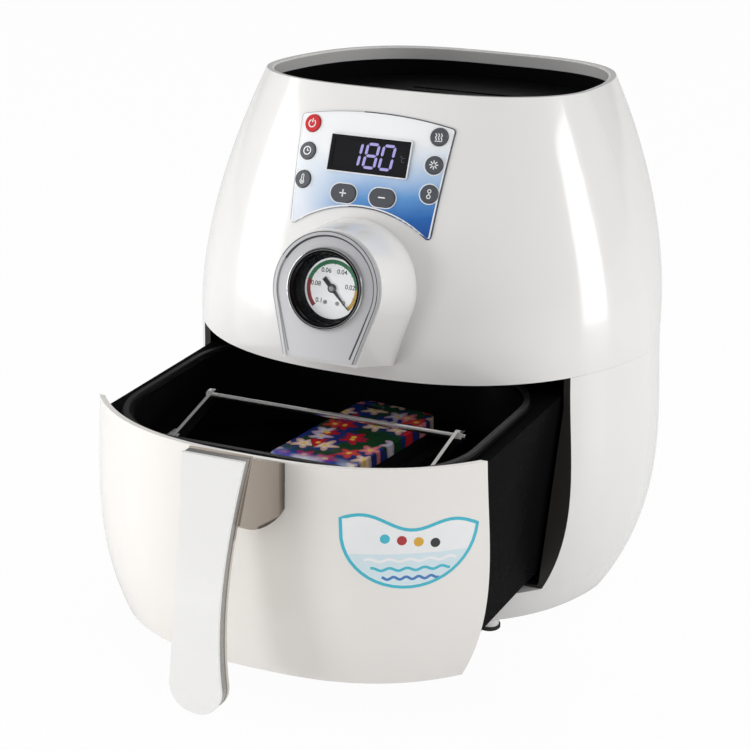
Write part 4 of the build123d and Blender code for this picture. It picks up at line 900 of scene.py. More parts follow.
# ---------------------------------------------------------------- the body's form
@dataclass(frozen=True)
class Placement:
    """A flat place on the object: an origin with directions right, up and out."""

    origin: Vector
    right: Vector
    up: Vector
    out: Vector

    def at(self, u: float, v: float, lift: float) -> Vector:
        """The point u to the right, v up and lift outward, in metres in the row frame."""
        return (self.origin + self.right * u + self.up * v + self.out * lift) * MM

    def turn(self) -> Matrix:
        """The rotation that lays X, Y and Z along right, up and out."""
        return Matrix((self.right, self.up, self.out)).transposed().to_4x4()

    def measured(self, graph: Graph, point: Output) -> tuple[Output, Output]:
        """A shader's point as distances to the right and up, in metres.

        Args:
            graph: The graph that measures.
            point: The point in the object's own frame.

        Returns:
            Both distances.
        """
        origin = self.origin * MM
        across = graph.along(point, self.right, origin.dot(self.right))
        return across, graph.along(point, self.up, origin.dot(self.up))

    def flat(self, lift: float) -> Lay:
        """Lays drawn points flat on the place, at a lift."""
        return lambda u, v: self.at(u, v, lift)


@dataclass(frozen=True)
class BodySkin:
    """The egg-shaped outer skin of the machine, as sizes and the curves through them."""

    foot_height: float = 8.0
    seam: float = 194.0
    top: float = 378.0
    widest_y: float = -36.0
    seam_reach: Point2 = (171.0, 170.5)
    top_reach: Point2 = (117.0, 111.5)
    low_reach: Point2 = (140.0, 152.0)
    bulge: float = 6.0
    bulge_peak: float = 6.75
    lean: float = 1.7
    powers_low: Point2 = (2.6, 1.7)
    powers_top: Point2 = (2.9, 1.95)
    slope_step: float = 0.5

    def reach(self, height: float, side: int) -> float:
        """How far the skin reaches at a height.

        Args:
            height: The height above the floor.
            side: 0 for the half width, 1 for the front.

        Returns:
            The reach.
        """
        seam = self.seam_reach[side]
        if height >= self.seam:
            rise = (height - self.seam) / (self.top - self.seam)
            return seam - (seam - self.top_reach[side]) * rise**self.lean
        fall = (self.seam - height) / (self.seam - self.foot_height)
        swell = self.bulge * self.bulge_peak * fall**2 * (1 - fall)
        return seam + swell - (seam - self.low_reach[side]) * fall**3

    def front(self, x: float, height: float) -> float:
        """Where the front skin lies in Y.

        Args:
            x: The place across from the middle.
            height: The height above the floor.

        Returns:
            The skin's Y.
        """
        rise = max(0.0, (height - self.seam) / (self.top - self.seam))
        powers = zip(self.powers_low, self.powers_top)
        across_power, along_power = (low + (top - low) * rise for low, top in powers)
        across = min(1.0, abs(x) / self.reach(height, 0))
        depth = self.reach(height, 1) + self.widest_y
        return self.widest_y - depth * (1 - across**across_power) ** (1 / along_power)

    def place(self, x: float, height: float, lift: float = 0.0) -> Placement:
        """A flat place that touches the front of the skin.

        Args:
            x: The place across from the middle.
            height: The height above the floor.
            lift: How far it stands out of the skin.

        Returns:
            The place, with its right direction level.
        """
        step = self.slope_step
        slope_x = self.front(x + step, height) - self.front(x - step, height)
        slope_z = self.front(x, height + step) - self.front(x, height - step)
        out = Vector((slope_x, -1.0, slope_z)).normalized()
        right = Vector((1.0, slope_x, 0.0)).normalized()
        origin = Vector((x, self.front(x, height), height)) + out * lift
        return Placement(origin, right, out.cross(right), out)


SKIN = BodySkin()


# ---------------------------------------------------------------- flat marks
class Glyph:
    """A thin printed mark, drawn as polygons in millimetres on a flat place."""

    THICK: float = 0.06
    SAME_POINT: float = 0.004
    LONG_EDGE: float = 2.5
    ARC_STEP: float = 7.5

    def __init__(self) -> None:
        """Starts an empty mark."""
        self.polygons: list[list[Point2]] = []

    def polygon(self, points: Iterable[Point2]) -> Glyph:
        """Adds a filled polygon."""
        self.polygons.append(list(points))
        return self

    def bar(self, start: Point2, end: Point2, width: float) -> Glyph:
        """Adds a straight stroke with square ends.

        Args:
            start: Where it starts.
            end: Where it ends.
            width: Its width.

        Returns:
            The glyph itself.
        """
        a, b = Vector(start), Vector(end)
        run = b - a
        side = Vector((-run.y, run.x)).normalized() * (width / 2)
        return self.polygon([tuple(p) for p in (a - side, b - side, b + side, a + side)])

    def path(self, points: Sequence[Point2], width: float, closed: bool = False) -> Glyph:
        """Adds a stroke along points.

        Args:
            points: The stroke's middle line.
            width: Its width.
            closed: Whether the last point joins the first.

        Returns:
            The glyph itself.
        """
        count = len(points)
        edges: list[tuple[Vector, Vector]] = []
        for index in range(count):
            here = Vector(points[index])
            before = Vector(points[index - 1]) if index or closed else here
            after = Vector(points[(index + 1) % count]) if index < count - 1 or closed else here
            run = (after - before).normalized()
            side = Vector((-run.y, run.x)) * (width / 2)
            edges.append((here - side, here + side))
        for index in range(count if closed else count - 1):
            (a, b), (c, d) = edges[index], edges[(index + 1) % count]
            self.polygon([tuple(a), tuple(c), tuple(d), tuple(b)])
        return self

    def arc(
        self, centre: Point2, radius: float, width: float, start: float = 0.0, end: float = 360.0
    ) -> Glyph:
        """Adds a stroke along a circle, or a whole ring.

        Args:
            centre: The circle's centre.
            radius: Its radius at the stroke's middle.
            width: The stroke's width.
            start: The first angle in degrees.
            end: The last angle in degrees.

        Returns:
            The glyph itself.
        """
        whole = abs(end - start) >= 359.9
        steps = max(6, int(abs(end - start) / self.ARC_STEP))
        count = steps if whole else steps + 1
        turns = [radians(start + (end - start) * step / steps) for step in range(count)]
        return self.path([on_circle(radius, turn, centre) for turn in turns], width, whole)

    def disc(self, centre: Point2, radius: float, steps: int = 24) -> Glyph:
        """Adds a filled circle of so many sides."""
        turns = [2 * pi * step / steps for step in range(steps)]
        return self.polygon([on_circle(radius, turn, centre) for turn in turns])

    def make(
        self, name: str, finish: Finish, slot: str, lay: Lay, body: str = "body", cuts: int = 0
    ) -> None:
        """Builds the mark as a thin mesh.

        Args:
            name: The piece's name.
            finish: Its finish.
            slot: Not used.
            lay: Turns a drawn point into a point in metres.
            body: The body that it rides on.
            cuts: How often long edges are divided, so that it can follow a curved skin.
        """
        build = bmesh.new()
        for polygon in self.polygons:
            build.faces.new([build.verts.new((u, v, 0.0)) for u, v in polygon])
        bmesh.ops.remove_doubles(build, verts=build.verts, dist=self.SAME_POINT)
        if cuts:
            bmesh.ops.triangulate(build, faces=build.faces)
        for _ in range(cuts):
            long_edges = [edge for edge in build.edges if edge.calc_length() > self.LONG_EDGE]
            bmesh.ops.subdivide_edges(build, edges=long_edges, cuts=1)
            bmesh.ops.triangulate(build, faces=build.faces)
        for vert in build.verts:
            vert.co = lay(vert.co.x, vert.co.y)
        bmesh.ops.recalc_face_normals(build, faces=build.faces)
        piece = linked(name, mesh_of(name, build))
        shell = piece.modifiers.new("thickness", "SOLIDIFY")
        shell.thickness = self.THICK * MM
        shell.offset = 0.0
        enlist(piece, body, finish)


class Drape:
    """Lays drawn points on the real surface of CAD nodes."""

    START: float = 40.0
    RANGE_METRES: float = 0.12

    def __init__(self, *nodes: str) -> None:
        """Reads the nodes' surfaces.

        Args:
            nodes: The names of the CAD nodes.
        """
        verts: list[Vector] = []
        faces: list[tuple[int, ...]] = []
        for name in nodes:
            mesh = frame["nodes"][name].data
            start = len(verts)
            verts += [vert.co.copy() for vert in mesh.vertices]
            faces += [tuple(start + index for index in face.vertices) for face in mesh.polygons]
        self.tree = BVHTree.FromPolygons(verts, faces)

    def on(self, place: Placement, lift: float) -> Lay:
        """Drops drawn points from a place onto the surface.

        Args:
            place: Where the points are drawn.
            lift: How far above the surface they end.

        Returns:
            A function from drawn points to points in metres.
        """

        def lay(u: float, v: float) -> Vector:
            """Drops one point.

            Args:
                u: Its distance to the right.
                v: Its distance up.

            Returns:
                The point on the surface, or on the place where there is none.
            """
            start = place.at(u, v, self.START)
            hit, normal, _, _ = self.tree.ray_cast(start, -place.out, self.RANGE_METRES)
            if hit is None:
                return place.at(u, v, lift)
            if normal.dot(place.out) < 0:
                normal = -normal
            return hit + normal * lift * MM

        return lay


# ---------------------------------------------------------------- control overlay
class Segments(Enum):
    """Which bars of a seven-bar digit are lit, from the top bar clockwise, then the middle."""

    ONE = "bc"
    EIGHT = "abcdefg"
    ZERO = "abcdef"


@dataclass
class ControlOverlay:
    """The printed overlay with its display and eight buttons."""

    low: float = 288.0
    high: float = 359.5
    low_half: float = 52.0
    high_half: float = 57.0
    low_arch: float = 17.5
    top_arch: float = 5.0
    thick: float = 0.8
    corner: float = 3.0
    least_corner: float = 0.8
    edge_inset: float = 1.25
    edge_width: float = 1.1
    line_inset: float = 0.45
    line_width: float = 0.75
    faint_until: float = -8.0
    window_half: float = 30.0
    frame_line: float = 0.8
    window_low: float = 324.5
    window_high: float = 348.5
    button_column: float = 46.5
    button_heights: Point3 = (352.0, 334.7, 316.9)
    key_height: float = 311.7
    key_spread: float = 14.3
    key_length: float = 18.5
    key_width: float = 12.0
    button_radius: float = 6.0
    ring_gap: float = 0.75
    ring_width: float = 0.7
    button_front: float = 2.2
    symbol_lift: float = 0.04
    display_lift: float = 0.46
    digit_wide: float = 8.2
    digit_tall: float = 16.0
    digit_lean: float = 0.10
    bar_thick: float = 1.9
    bar_gap: float = 0.45
    digit_lefts: Point3 = (-15.6, -3.4, 8.4)
    icon_width: float = 0.75

    def __post_init__(self) -> None:
        """Places the overlay's flat drawing plane and the window's middle on it."""
        self.middle = (self.low + self.high) / 2
        self.plane = SKIN.place(0.0, self.middle)
        self.lean = cos(atan2(self.plane.out.z, -self.plane.out.y))
        self.window_middle = self.up_plane((self.window_low + self.window_high) / 2)

    def up_plane(self, height: float) -> float:
        """A height above the floor as a distance up the overlay's plane."""
        return (height - self.middle) / self.lean

    def arch(self, start: Point2, crown: Point2, end: Point2, steps: int = 24) -> list[Point2]:
        """Points along the circle through three points.

        Args:
            start: The first point.
            crown: A point midway.
            end: The last point.
            steps: How many runs it is cut into.

        Returns:
            The points, both ends included.
        """
        half = (start[0] - end[0]) / 2
        rise = crown[1] - start[1]
        radius = (half**2 + rise**2) / (2 * rise)
        centre = (crown[0], crown[1] - radius)
        first = atan2(start[1] - centre[1], start[0] - centre[0])
        last = atan2(end[1] - centre[1], end[0] - centre[0])
        turns = [first + (last - first) * step / steps for step in range(steps + 1)]
        return [on_circle(abs(radius), turn, centre) for turn in turns]

    def outline(self, inset: float) -> list[Point2]:
        """The overlay's outline.

        Args:
            inset: How far it is drawn in.

        Returns:
            Its points, with rounded corners.
        """
        low = self.up_plane(self.low) + inset
        high = self.up_plane(self.high) - inset
        low_half = self.low_half - inset
        high_half = self.high_half - inset
        top = self.arch((high_half, high), (0.0, high + self.top_arch), (-high_half, high))
        bottom = self.arch((-low_half, low), (0.0, low + self.low_arch), (low_half, low))
        ends = {0, len(top) - 1, len(top), len(top) + len(bottom) - 1}
        return self.rounded(top + bottom, ends, max(self.least_corner, self.corner - inset))

    def rounded(self, points: Sequence[Point2], corners: set[int], radius: float) -> list[Point2]:
        """Rounds some corners of a closed outline.

        Args:
            points: The outline.
            corners: The indexes of the points that are rounded.
            radius: The corners' radius.

        Returns:
            The outline with its rounded corners.
        """
        result: list[Point2] = []
        for index, point in enumerate(points):
            if index not in corners:
                result.append(point)
                continue
            here = Vector(point)
            before = Vector(points[index - 1]) - here
            after = Vector(points[(index + 1) % len(points)]) - here
            slope = tan(before.angle(after) / 2)
            cut = min(radius / slope, 0.9 * before.length, 0.9 * after.length)
            first = here + before.normalized() * cut
            last = here + after.normalized() * cut
            bisector = (before.normalized() + after.normalized()).normalized()
            centre = here + bisector * sqrt(cut**2 + (cut * slope) ** 2)
            for step in range(7):
                toward = (first - centre).lerp(last - centre, step / 6).normalized()
                result.append(tuple(centre + toward * cut * slope))
        return result

    def border(self, drape: Drape) -> None:
        """Draws the white edge line and, outside it, the keyline, which fades on the left: a
        printed keyline with painted shade, dark on the right.

        Args:
            drape: The surface that the lines lie on.
        """
        white = Glyph().path(self.outline(self.edge_inset), self.edge_width, True)
        white.make("overlay_edge", Finish.MARK_WHITE, "overlay", drape.on(self.plane, 0.08), cuts=6)
        lay = drape.on(self.plane, 0.10)
        line = self.outline(self.line_inset)
        # Painted shade: the keyline is dark right of faint_until and faint grey to its left, where
        # light falls.
        left = [index for index, point in enumerate(line) if point[0] <= self.faint_until]
        dark = Glyph().path(line[left[-1] :] + line[: left[0] + 1], self.line_width)
        dark.make("overlay_keyline", Finish.MARK_KEYLINE, "overlay", lay, cuts=6)
        faint = Glyph().path(line[left[0] : left[-1] + 1], 0.6 * self.line_width)
        faint.make("overlay_faint_line", Finish.MARK_GREY, "overlay", lay, cuts=6)

    def rings(self, drape: Drape) -> None:
        """Draws a pale ring round each button.

        Args:
            drape: The surface that the rings lie on.
        """
        glyph = Glyph()
        for x, height in self.button_places().values():
            touch = SKIN.place(x, height).origin - self.plane.origin
            spot = (touch.dot(self.plane.right), touch.dot(self.plane.up))
            if height == self.key_height:
                flat = self.key_length / 2 - self.key_width / 2
                wide = self.key_width / 2 + self.ring_gap
                ends = [on_circle(wide, radians(turn), (flat, 0.0)) for turn in range(-90, 91, 10)]
                ends += [(-u, -v) for u, v in ends]
                glyph.path([(spot[0] + u, spot[1] + v) for u, v in ends], self.ring_width, True)
            else:
                glyph.arc(spot, self.button_radius + self.ring_gap, self.ring_width)
        lay = drape.on(self.plane, 0.05)
        glyph.make("overlay_button_rings", Finish.MARK_WHITE, "overlay", lay, cuts=1)

    def digit(self, glyph: Glyph, bars: Segments, left: float, base: float) -> None:
        """Adds the bars of one slanted digit.

        Args:
            glyph: The glyph that takes the bars.
            bars: Which bars are lit.
            left: The digit's left edge.
            base: Its foot.
        """
        half, end = self.digit_tall / 2, self.bar_thick / 2
        flat = {"a": self.digit_tall, "g": half, "d": 0.0}
        for key in bars.value:
            length = self.digit_wide if key in flat else half
            start, stop = self.bar_gap, length - self.bar_gap
            shape = (
                (start, 0.0),
                (start + end, end),
                (stop - end, end),
                (stop, 0.0),
                (stop - end, -end),
                (start + end, -end),
            )
            if key in flat:
                corners = [(along, flat[key] + off) for along, off in shape]
            else:
                x = self.digit_wide if key in "bc" else 0.0
                y = half if key in "bf" else 0.0
                corners = [(x + off, y + along) for along, off in shape]
            glyph.polygon([(left + px + py * self.digit_lean, base + py) for px, py in corners])

    def display(self) -> None:
        """Draws the three lit digits and the small unit ring behind the window."""
        lay = self.plane.flat(self.thick + self.display_lift)
        base = self.window_middle - self.digit_tall / 2
        lit = Glyph()
        for bars, left in zip((Segments.ONE, Segments.EIGHT, Segments.ZERO), self.digit_lefts):
            self.digit(lit, bars, left, base)
        lit.make("display_digits", Finish.DIGIT_LIT, "smoked_window", lay)
        unit = Glyph().arc((25.4, base + 7.6), 1.5, 0.45, 60.0, 300.0)
        unit.arc((23.2, base + 9.8), 0.55, 0.3)
        unit.make("display_unit", Finish.DIGIT_DIM, "smoked_window", lay)

    def icon(self, name: str) -> Glyph:
        """Draws a button's plain symbol.

        Args:
            name: The button's name.

        Returns:
            The symbol in millimetres round its centre.
        """
        w = self.icon_width
        glyph = Glyph()
        if name == "power":
            return glyph.arc((0, -0.3), 2.6, w, 122.0, 418.0).bar((0, 0.4), (0, 3.1), w)
        if name == "time":
            glyph.arc((0, 0), 2.7, w).bar((0, -0.2), (0, 1.7), 0.6)
            return glyph.bar((0, 0), (1.3, 0), 0.6)
        if name == "temperature":
            glyph.arc((0, -1.7), 1.5, 0.6, 120.0, 420.0).disc((0, -1.7), 0.7)
            return glyph.path([(-0.8, -0.5), (-0.8, 2.6), (0, 3.4), (0.8, 2.6), (0.8, -0.5)], 0.6)
        if name == "heat":
            for x in (-1.9, 0.0, 1.9):
                glyph.path([(x + 0.5 * sin(t * 1.9), -2.6 + t * 0.8) for t in range(7)], 0.65)
            return glyph.bar((-2.6, -3.2), (2.6, -3.2), 0.5)
        if name == "vacuum":
            for step in range(8):
                turn = radians(45 * step)
                glyph.bar(on_circle(1.0, turn), on_circle(3.1, turn), 0.7)
            return glyph
        if name == "timer":
            glyph.arc((0.2, 1.8), 1.1, 0.6).arc((-0.1, -1.9), 1.2, 0.6)
            return glyph.bar((0.2, 0.7), (-0.1, -0.7), 0.7)
        glyph.bar((-2.5, 0), (2.5, 0), 0.85)
        return glyph.bar((0, -2.5), (0, 2.5), 0.85) if name == "plus" else glyph

    def button_places(self) -> dict[str, Point2]:
        """The buttons' places.

        Returns:
            Each button's place across and its height above the floor.
        """
        left, right = -self.button_column, self.button_column
        top, middle, low = self.button_heights
        return {
            "power": (left, top),
            "time": (left, middle),
            "temperature": (left, low),
            "heat": (right, top),
            "vacuum": (right, middle),
            "timer": (right, low),
            "plus": (-self.key_spread, self.key_height),
            "minus": (self.key_spread, self.key_height),
        }

    def buttons(self) -> None:
        """Puts each button's symbol on its face."""
        for name, (x, height) in self.button_places().items():
            lay = SKIN.place(x, height, self.button_front + self.symbol_lift).flat(0.0)
            body = f"button_{name}"
            self.icon(name).make(f"{name}_symbol", Finish.MARK_WHITE, "dial_white", lay, body)

    def build(self) -> None:
        """Dresses the overlay and everything on it."""
        plane, nodes = self.plane, frame["nodes"]
        dress(nodes["control_panel"], OverlayPrint("overlay_print", plane).material())
        window = plane.origin + plane.up * self.window_middle
        half_high = self.up_plane(self.window_high) - self.window_middle
        reach = (self.window_half - self.frame_line, half_high - self.frame_line)
        window_place = Placement(window, plane.right, plane.up, plane.out)
        framed = WindowFrame("window_frame", window_place, reach)
        dress(nodes["display_bezel"], framed.material())
        drape = Drape("control_panel", "upper_housing")
        self.border(drape)
        self.rings(drape)
        self.display()
        self.buttons()


# ---------------------------------------------------------------- gauge
@dataclass
class VacuumGauge:
    """The round gauge: its printed dial, numbers, screws and hub."""

    height: float = 262.6
    reach: float = 199.0
    lean: float = 14.4
    dial_depth: float = 9.0
    dial_radius: float = 23.9
    card_radius: float = 20.3
    arc_radius: float = 17.6
    arc_width: float = 2.7
    start: float = 225.0
    sweep: float = 270.0
    ticks: int = 50
    long_every: int = 5
    long_tick: Point2 = (2.0, 0.32)
    short_tick: Point2 = (0.2, 0.16)
    numbers: tuple[str, ...] = ("0.1", "0.08", "0.06", "0.04", "0.02", "0")
    number_size: float = 4.3
    number_inset: float = 4.9
    screw_spot: Point2 = (4.4, -9.6)
    head_sides: int = 20
    # Bezel rings by radius in metres and tone; the thin bright ones are painted glints.
    bezel_tones: tuple[Point2, ...] = ((0.0, 0.02), (0.0252, 0.75), (0.0258, 0.03), (0.0266, 0.85))
    badge_radius: float = 38.0
    badge_low_half: float = 25.5
    badge_drop: float = 47.0
    badge_light_from: int = 18

    def __post_init__(self) -> None:
        """Sets the gauge's own plane."""
        out = Vector((0.0, -cos(radians(self.lean)), sin(radians(self.lean))))
        right = Vector((1.0, 0.0, 0.0))
        origin = Vector((0.0, -self.reach, self.height))
        self.plane = Placement(origin, right, out.cross(right), out)

    def on_dial(self, lift: float) -> Lay:
        """Lays drawn points at a lift above the dial."""
        return self.plane.flat(lift - self.dial_depth)

    def text(self, words: str, spot: Point2, lift: float) -> None:
        """Sets a number on the dial.

        Args:
            words: The number.
            spot: Its middle on the gauge's plane.
            lift: How far it stands above the dial.
        """
        curve = bpy.data.curves.new(f"dial_number_{words.replace('.', '_')}", "FONT")
        curve.body = words
        curve.size = self.number_size * MM
        curve.align_x = "CENTER"
        curve.align_y = "CENTER"
        curve.extrude = 0.03 * MM
        curve.offset = 0.05 * MM
        piece = linked(curve.name, curve)
        at = self.plane.at(*spot, lift - self.dial_depth)
        piece.matrix_world = Matrix.Translation(at) @ self.plane.turn()
        enlist(piece, "body", Finish.MARK_BLACK)

    def angle(self, share: float) -> float:
        """The dial's angle in degrees at a share of its scale."""
        return self.start - self.sweep * share

    def keyhole(self, inset: float) -> list[Point2]:
        """The badge's outline: a round head on a tapered foot.

        Args:
            inset: How far it is drawn in.

        Returns:
            The points on the gauge's plane.
        """
        radius = self.badge_radius - inset
        low_half = self.badge_low_half - inset
        drop = self.badge_drop - inset
        touch = acos(radius / hypot(low_half, drop)) - atan2(drop, low_half)
        turns = [touch + (pi - 2 * touch) * step / 60 for step in range(61)]
        head = [on_circle(radius, turn) for turn in turns]
        return [(low_half, -drop)] + head + [(-low_half, -drop)]

    def badge(self) -> None:
        """Draws painted shade lines at the edge and at the foot of the badge's rim, dark on the
        right and paler on the left.
        """
        lay = Drape("gauge_badge").on(self.plane, 0.04)
        # Painted shade: the right part of each line is dark; the left part, from badge_light_from
        # on, is paler.
        for name, inset, width in (("outer", 0.35, 0.6), ("inner", 3.2, 1.2)):
            line = self.keyhole(inset)
            middle = len(line) // 2 + self.badge_light_from
            right = Glyph().path(line[:middle], width)
            right.make(f"badge_{name}_line_right", Finish.MARK_GROOVE, "silver", lay, cuts=5)
            left = Glyph().path(line[middle - 1 :], 0.8 * width)
            left.make(f"badge_{name}_line_left", Finish.MARK_GREY, "silver", lay, cuts=5)

    def scale(self) -> None:
        """Draws the card, glowing with painted light, its dark surround, the coloured arc, the
        ticks and the numbers.
        """
        card = Glyph().disc((0.0, 0.0), self.card_radius, 96)
        card.make("dial_card", Finish.DIAL_CARD, "dial_white", self.on_dial(0.03))
        wide = self.dial_radius - self.card_radius
        surround = Glyph().arc((0.0, 0.0), self.card_radius + wide / 2, wide)
        surround.make("dial_surround", Finish.BLACK_GLOSS, "black_matte", self.on_dial(0.2))
        bands = (("red", 0.0, 0.22), ("green", 0.22, 0.82), ("yellow", 0.82, 1.0))
        for name, first, last in bands:
            turns = self.angle(first), self.angle(last)
            band = Glyph().arc((0, 0), self.arc_radius, self.arc_width, *turns)
            finish = Finish[f"MARK_{name.upper()}"]
            band.make(f"dial_{name}_band", finish, "dial_white", self.on_dial(0.05))
        ticks = Glyph()
        far = self.arc_radius + self.arc_width / 2
        for step in range(self.ticks + 1):
            turn = radians(self.angle(step / self.ticks))
            inset, width = self.short_tick if step % self.long_every else self.long_tick
            ticks.bar(on_circle(self.arc_radius - inset, turn), on_circle(far, turn), width)
        ticks.make("dial_ticks", Finish.MARK_BLACK, "dial_white", self.on_dial(0.12))
        for step, words in enumerate(self.numbers):
            turn = radians(self.angle(step / (len(self.numbers) - 1)))
            self.text(words, on_circle(self.arc_radius - self.number_inset, turn), 0.08)

    def screws(self) -> None:
        """Puts the two small dial screws and the needle's cap on the dial."""
        across, up = self.screw_spot
        self.turned("dial_screw_left", (-across, up), 1.35, 0.7, "body")
        self.turned("dial_screw_right", (across, up), 1.35, 0.7, "body")
        self.turned("needle_cap", (0.0, 0.0), 2.1, 1.5, "needle", 0.9)

    def turned(
        self, name: str, spot: Point2, radius: float, rise: float, body: str, start: float = 0.0
    ) -> None:
        """Makes a small domed turned head.

        Args:
            name: The piece's name.
            spot: Its middle on the gauge's plane.
            radius: Its radius.
            rise: Its height.
            body: The body that it rides on.
            start: How far its foot stands above the dial.
        """
        build = bmesh.new()
        sides = self.head_sides
        rings = []
        for share, lift in ((1.0, 0.0), (1.0, 0.55), (0.86, 0.85), (0.5, 1.0), (0.18, 1.0)):
            height = start + rise * lift - self.dial_depth
            turns = [2 * pi * step / sides for step in range(sides)]
            points = [on_circle(radius * share, turn, spot) for turn in turns]
            rings.append([build.verts.new(self.plane.at(u, v, height)) for u, v in points])
        for low, high in zip(rings, rings[1:]):
            for step in range(sides):
                after = (step + 1) % sides
                build.faces.new((low[step], low[after], high[after], high[step]))
        build.faces.new(rings[-1])
        piece = linked(name, mesh_of(name, build))
        for face in piece.data.polygons:
            face.use_smooth = True
        enlist(piece, body, Finish.SCREW_ZINC)

    def build(self) -> None:
        """Dresses the gauge."""
        centre = tuple(self.plane.origin * MM)
        ringed = RingedMetal("bezel_chrome", centre, tuple(self.plane.out), self.bezel_tones)
        dress(frame["nodes"]["gauge_bezel"], ringed.material())
        self.scale()
        self.badge()
        self.screws()


# ---------------------------------------------------------------- drawer
@dataclass
class Drawer:
    """The drawer's front with its printed patch."""

    out: float = 145.0
    patch_middle: Point2 = (104.0, 135.0)
    patch_stretch: Point2 = (1.05, 1.2)
    patch_half: float = 41.0
    patch_deep: float = 35.0
    patch_steps: int = 24
    edge_width: float = 2.1
    water_inset: float = 1.2
    water_level: float = -1.5
    wave_width: float = 1.8
    dot_radius: float = 3.1

    def patch_place(self) -> Placement:
        """The patch's flat place.

        Returns:
            A place that faces the patch, in front of the drawer's skin.
        """
        touch = SKIN.place(*self.patch_middle)
        moved = touch.origin - Vector((0, self.out, 0))
        return Placement(moved, touch.right, touch.up, touch.out)

    def patch_outline(self, grow: float) -> list[Point2]:
        """The patch's outline: a lens with a wavy upper edge.

        Args:
            grow: How far it is drawn out.

        Returns:
            The points on the patch's place.
        """
        points = []
        half, steps = self.patch_half, self.patch_steps
        for step in range(steps + 1):
            share = step / steps
            u = -half + 2 * half * share
            v = 17.0 + 3.2 * sin(share * 2 * pi * 1.5) - 6.0 * share
            points.append(self.stretched(u * (1 + grow / half), v + grow))
        for step in range(1, steps):
            turn = pi * step / steps
            v = 11.0 - (self.patch_deep + grow) * sin(turn) ** 0.9 + 6.0 * (1 - step / steps)
            points.append(self.stretched((half + grow) * cos(turn), v))
        return points

    def stretched(self, u: float, v: float) -> Point2:
        """A drawn point at the patch's real size."""
        return (u * self.patch_stretch[0], v * self.patch_stretch[1])

    def build(self) -> None:
        """Lays the generic patch on the drawer's front: pale ground, cyan edge, waves and dots."""
        place = self.patch_place()
        drape = Drape("drawer_front")
        top = drape.on(place, 0.12)

        def lay_down(glyph: Glyph, name: str, finish: Finish, lay: Lay, cuts: int) -> None:
            """Makes one mark of the patch."""
            glyph.make(f"patch_{name}", finish, "drawer_white", lay, "drawer", cuts)

        outline = self.patch_outline(0.0)
        ground = Glyph().polygon(outline)
        lay_down(ground, "ground", Finish.MARK_WHITE, drape.on(place, 0.06), 5)
        inner = self.patch_outline(-self.water_inset)
        water = Glyph().polygon([(u, v) for u, v in inner if v < self.water_level])
        lay_down(water, "water", Finish.MARK_PALE, drape.on(place, 0.09), 5)
        lay_down(Glyph().path(outline, self.edge_width, True), "edge", Finish.MARK_CYAN, top, 2)
        waves = (
            (Finish.MARK_WHITE, -7.0, 29.0),
            (Finish.MARK_CYAN, -13.0, 25.0),
            (Finish.MARK_BLUE, -19.0, 18.0),
        )
        for level, (finish, height, reach) in enumerate(waves):
            line = [
                (-reach + 2 * reach * step / 32, height + 0.9 * sin(step * 0.9 + level))
                for step in range(33)
            ]
            lay_down(Glyph().path(line, self.wave_width), f"wave_{level}", finish, top, 2)
        dots = (
            (Finish.MARK_CYAN, -16.0),
            (Finish.MARK_RED, -5.5),
            (Finish.MARK_YELLOW, 5.0),
            (Finish.MARK_BLACK, 15.5),
        )
        for finish, u in dots:
            dot = Glyph().disc((u, 5.5 - 0.12 * u), self.dot_radius)
            lay_down(dot, f"{finish.value.name}_dot", finish, top, 1)


# ---------------------------------------------------------------- carried-over nodes
@dataclass
class PackedPieces:
    """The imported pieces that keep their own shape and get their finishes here."""

    own: dict[str, Finish] = field(
        default_factory=lambda: {
            "top_insert": Finish.TOP_INSERT,
            "handle_back": Finish.HANDLE_CREAM,
            "handle_band": Finish.HANDLE_SILVER,
            "handle_face": Finish.HANDLE_WHITE,
            "lower_housing": Finish.CUT_HOUSING,
        }
    )

    def build(self) -> None:
        """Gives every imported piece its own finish, or else the finish of its slot."""
        for entry in frame["record"]["subparts"]:
            name, slot = entry["node"], entry["material_slot"]
            if slot == "overlay":
                continue
            finish = self.own.get(name) or Finish[slot.upper()]
            dress(frame["nodes"][name], finish.made)
            log.info("%s dressed as %s", name, finish.value.name)


# ---------------------------------------------------------------- studio
@dataclass(frozen=True)
class SoftBox:
    """A rectangular lamp: its place and size in metres, its power in watts."""

    name: str
    at: Point3
    size: Point2
    power: float
    mirrored: bool = True
    aim: Point3 = (0.0, -0.1, 0.18)

    def build(self) -> None:
        """Hangs the lamp, which glossy surfaces show where it is mirrored."""
        data = bpy.data.lights.new(self.name, "AREA")
        data.shape = "RECTANGLE"
        data.size, data.size_y = self.size
        data.energy = self.power
        lamp = linked(self.name, data)
        lamp.location = self.at
        lamp.visible_glossy = self.mirrored
        facing = Vector(self.aim) - Vector(self.at)
        lamp.rotation_euler = facing.to_track_quat("-Z", "Y").to_euler()


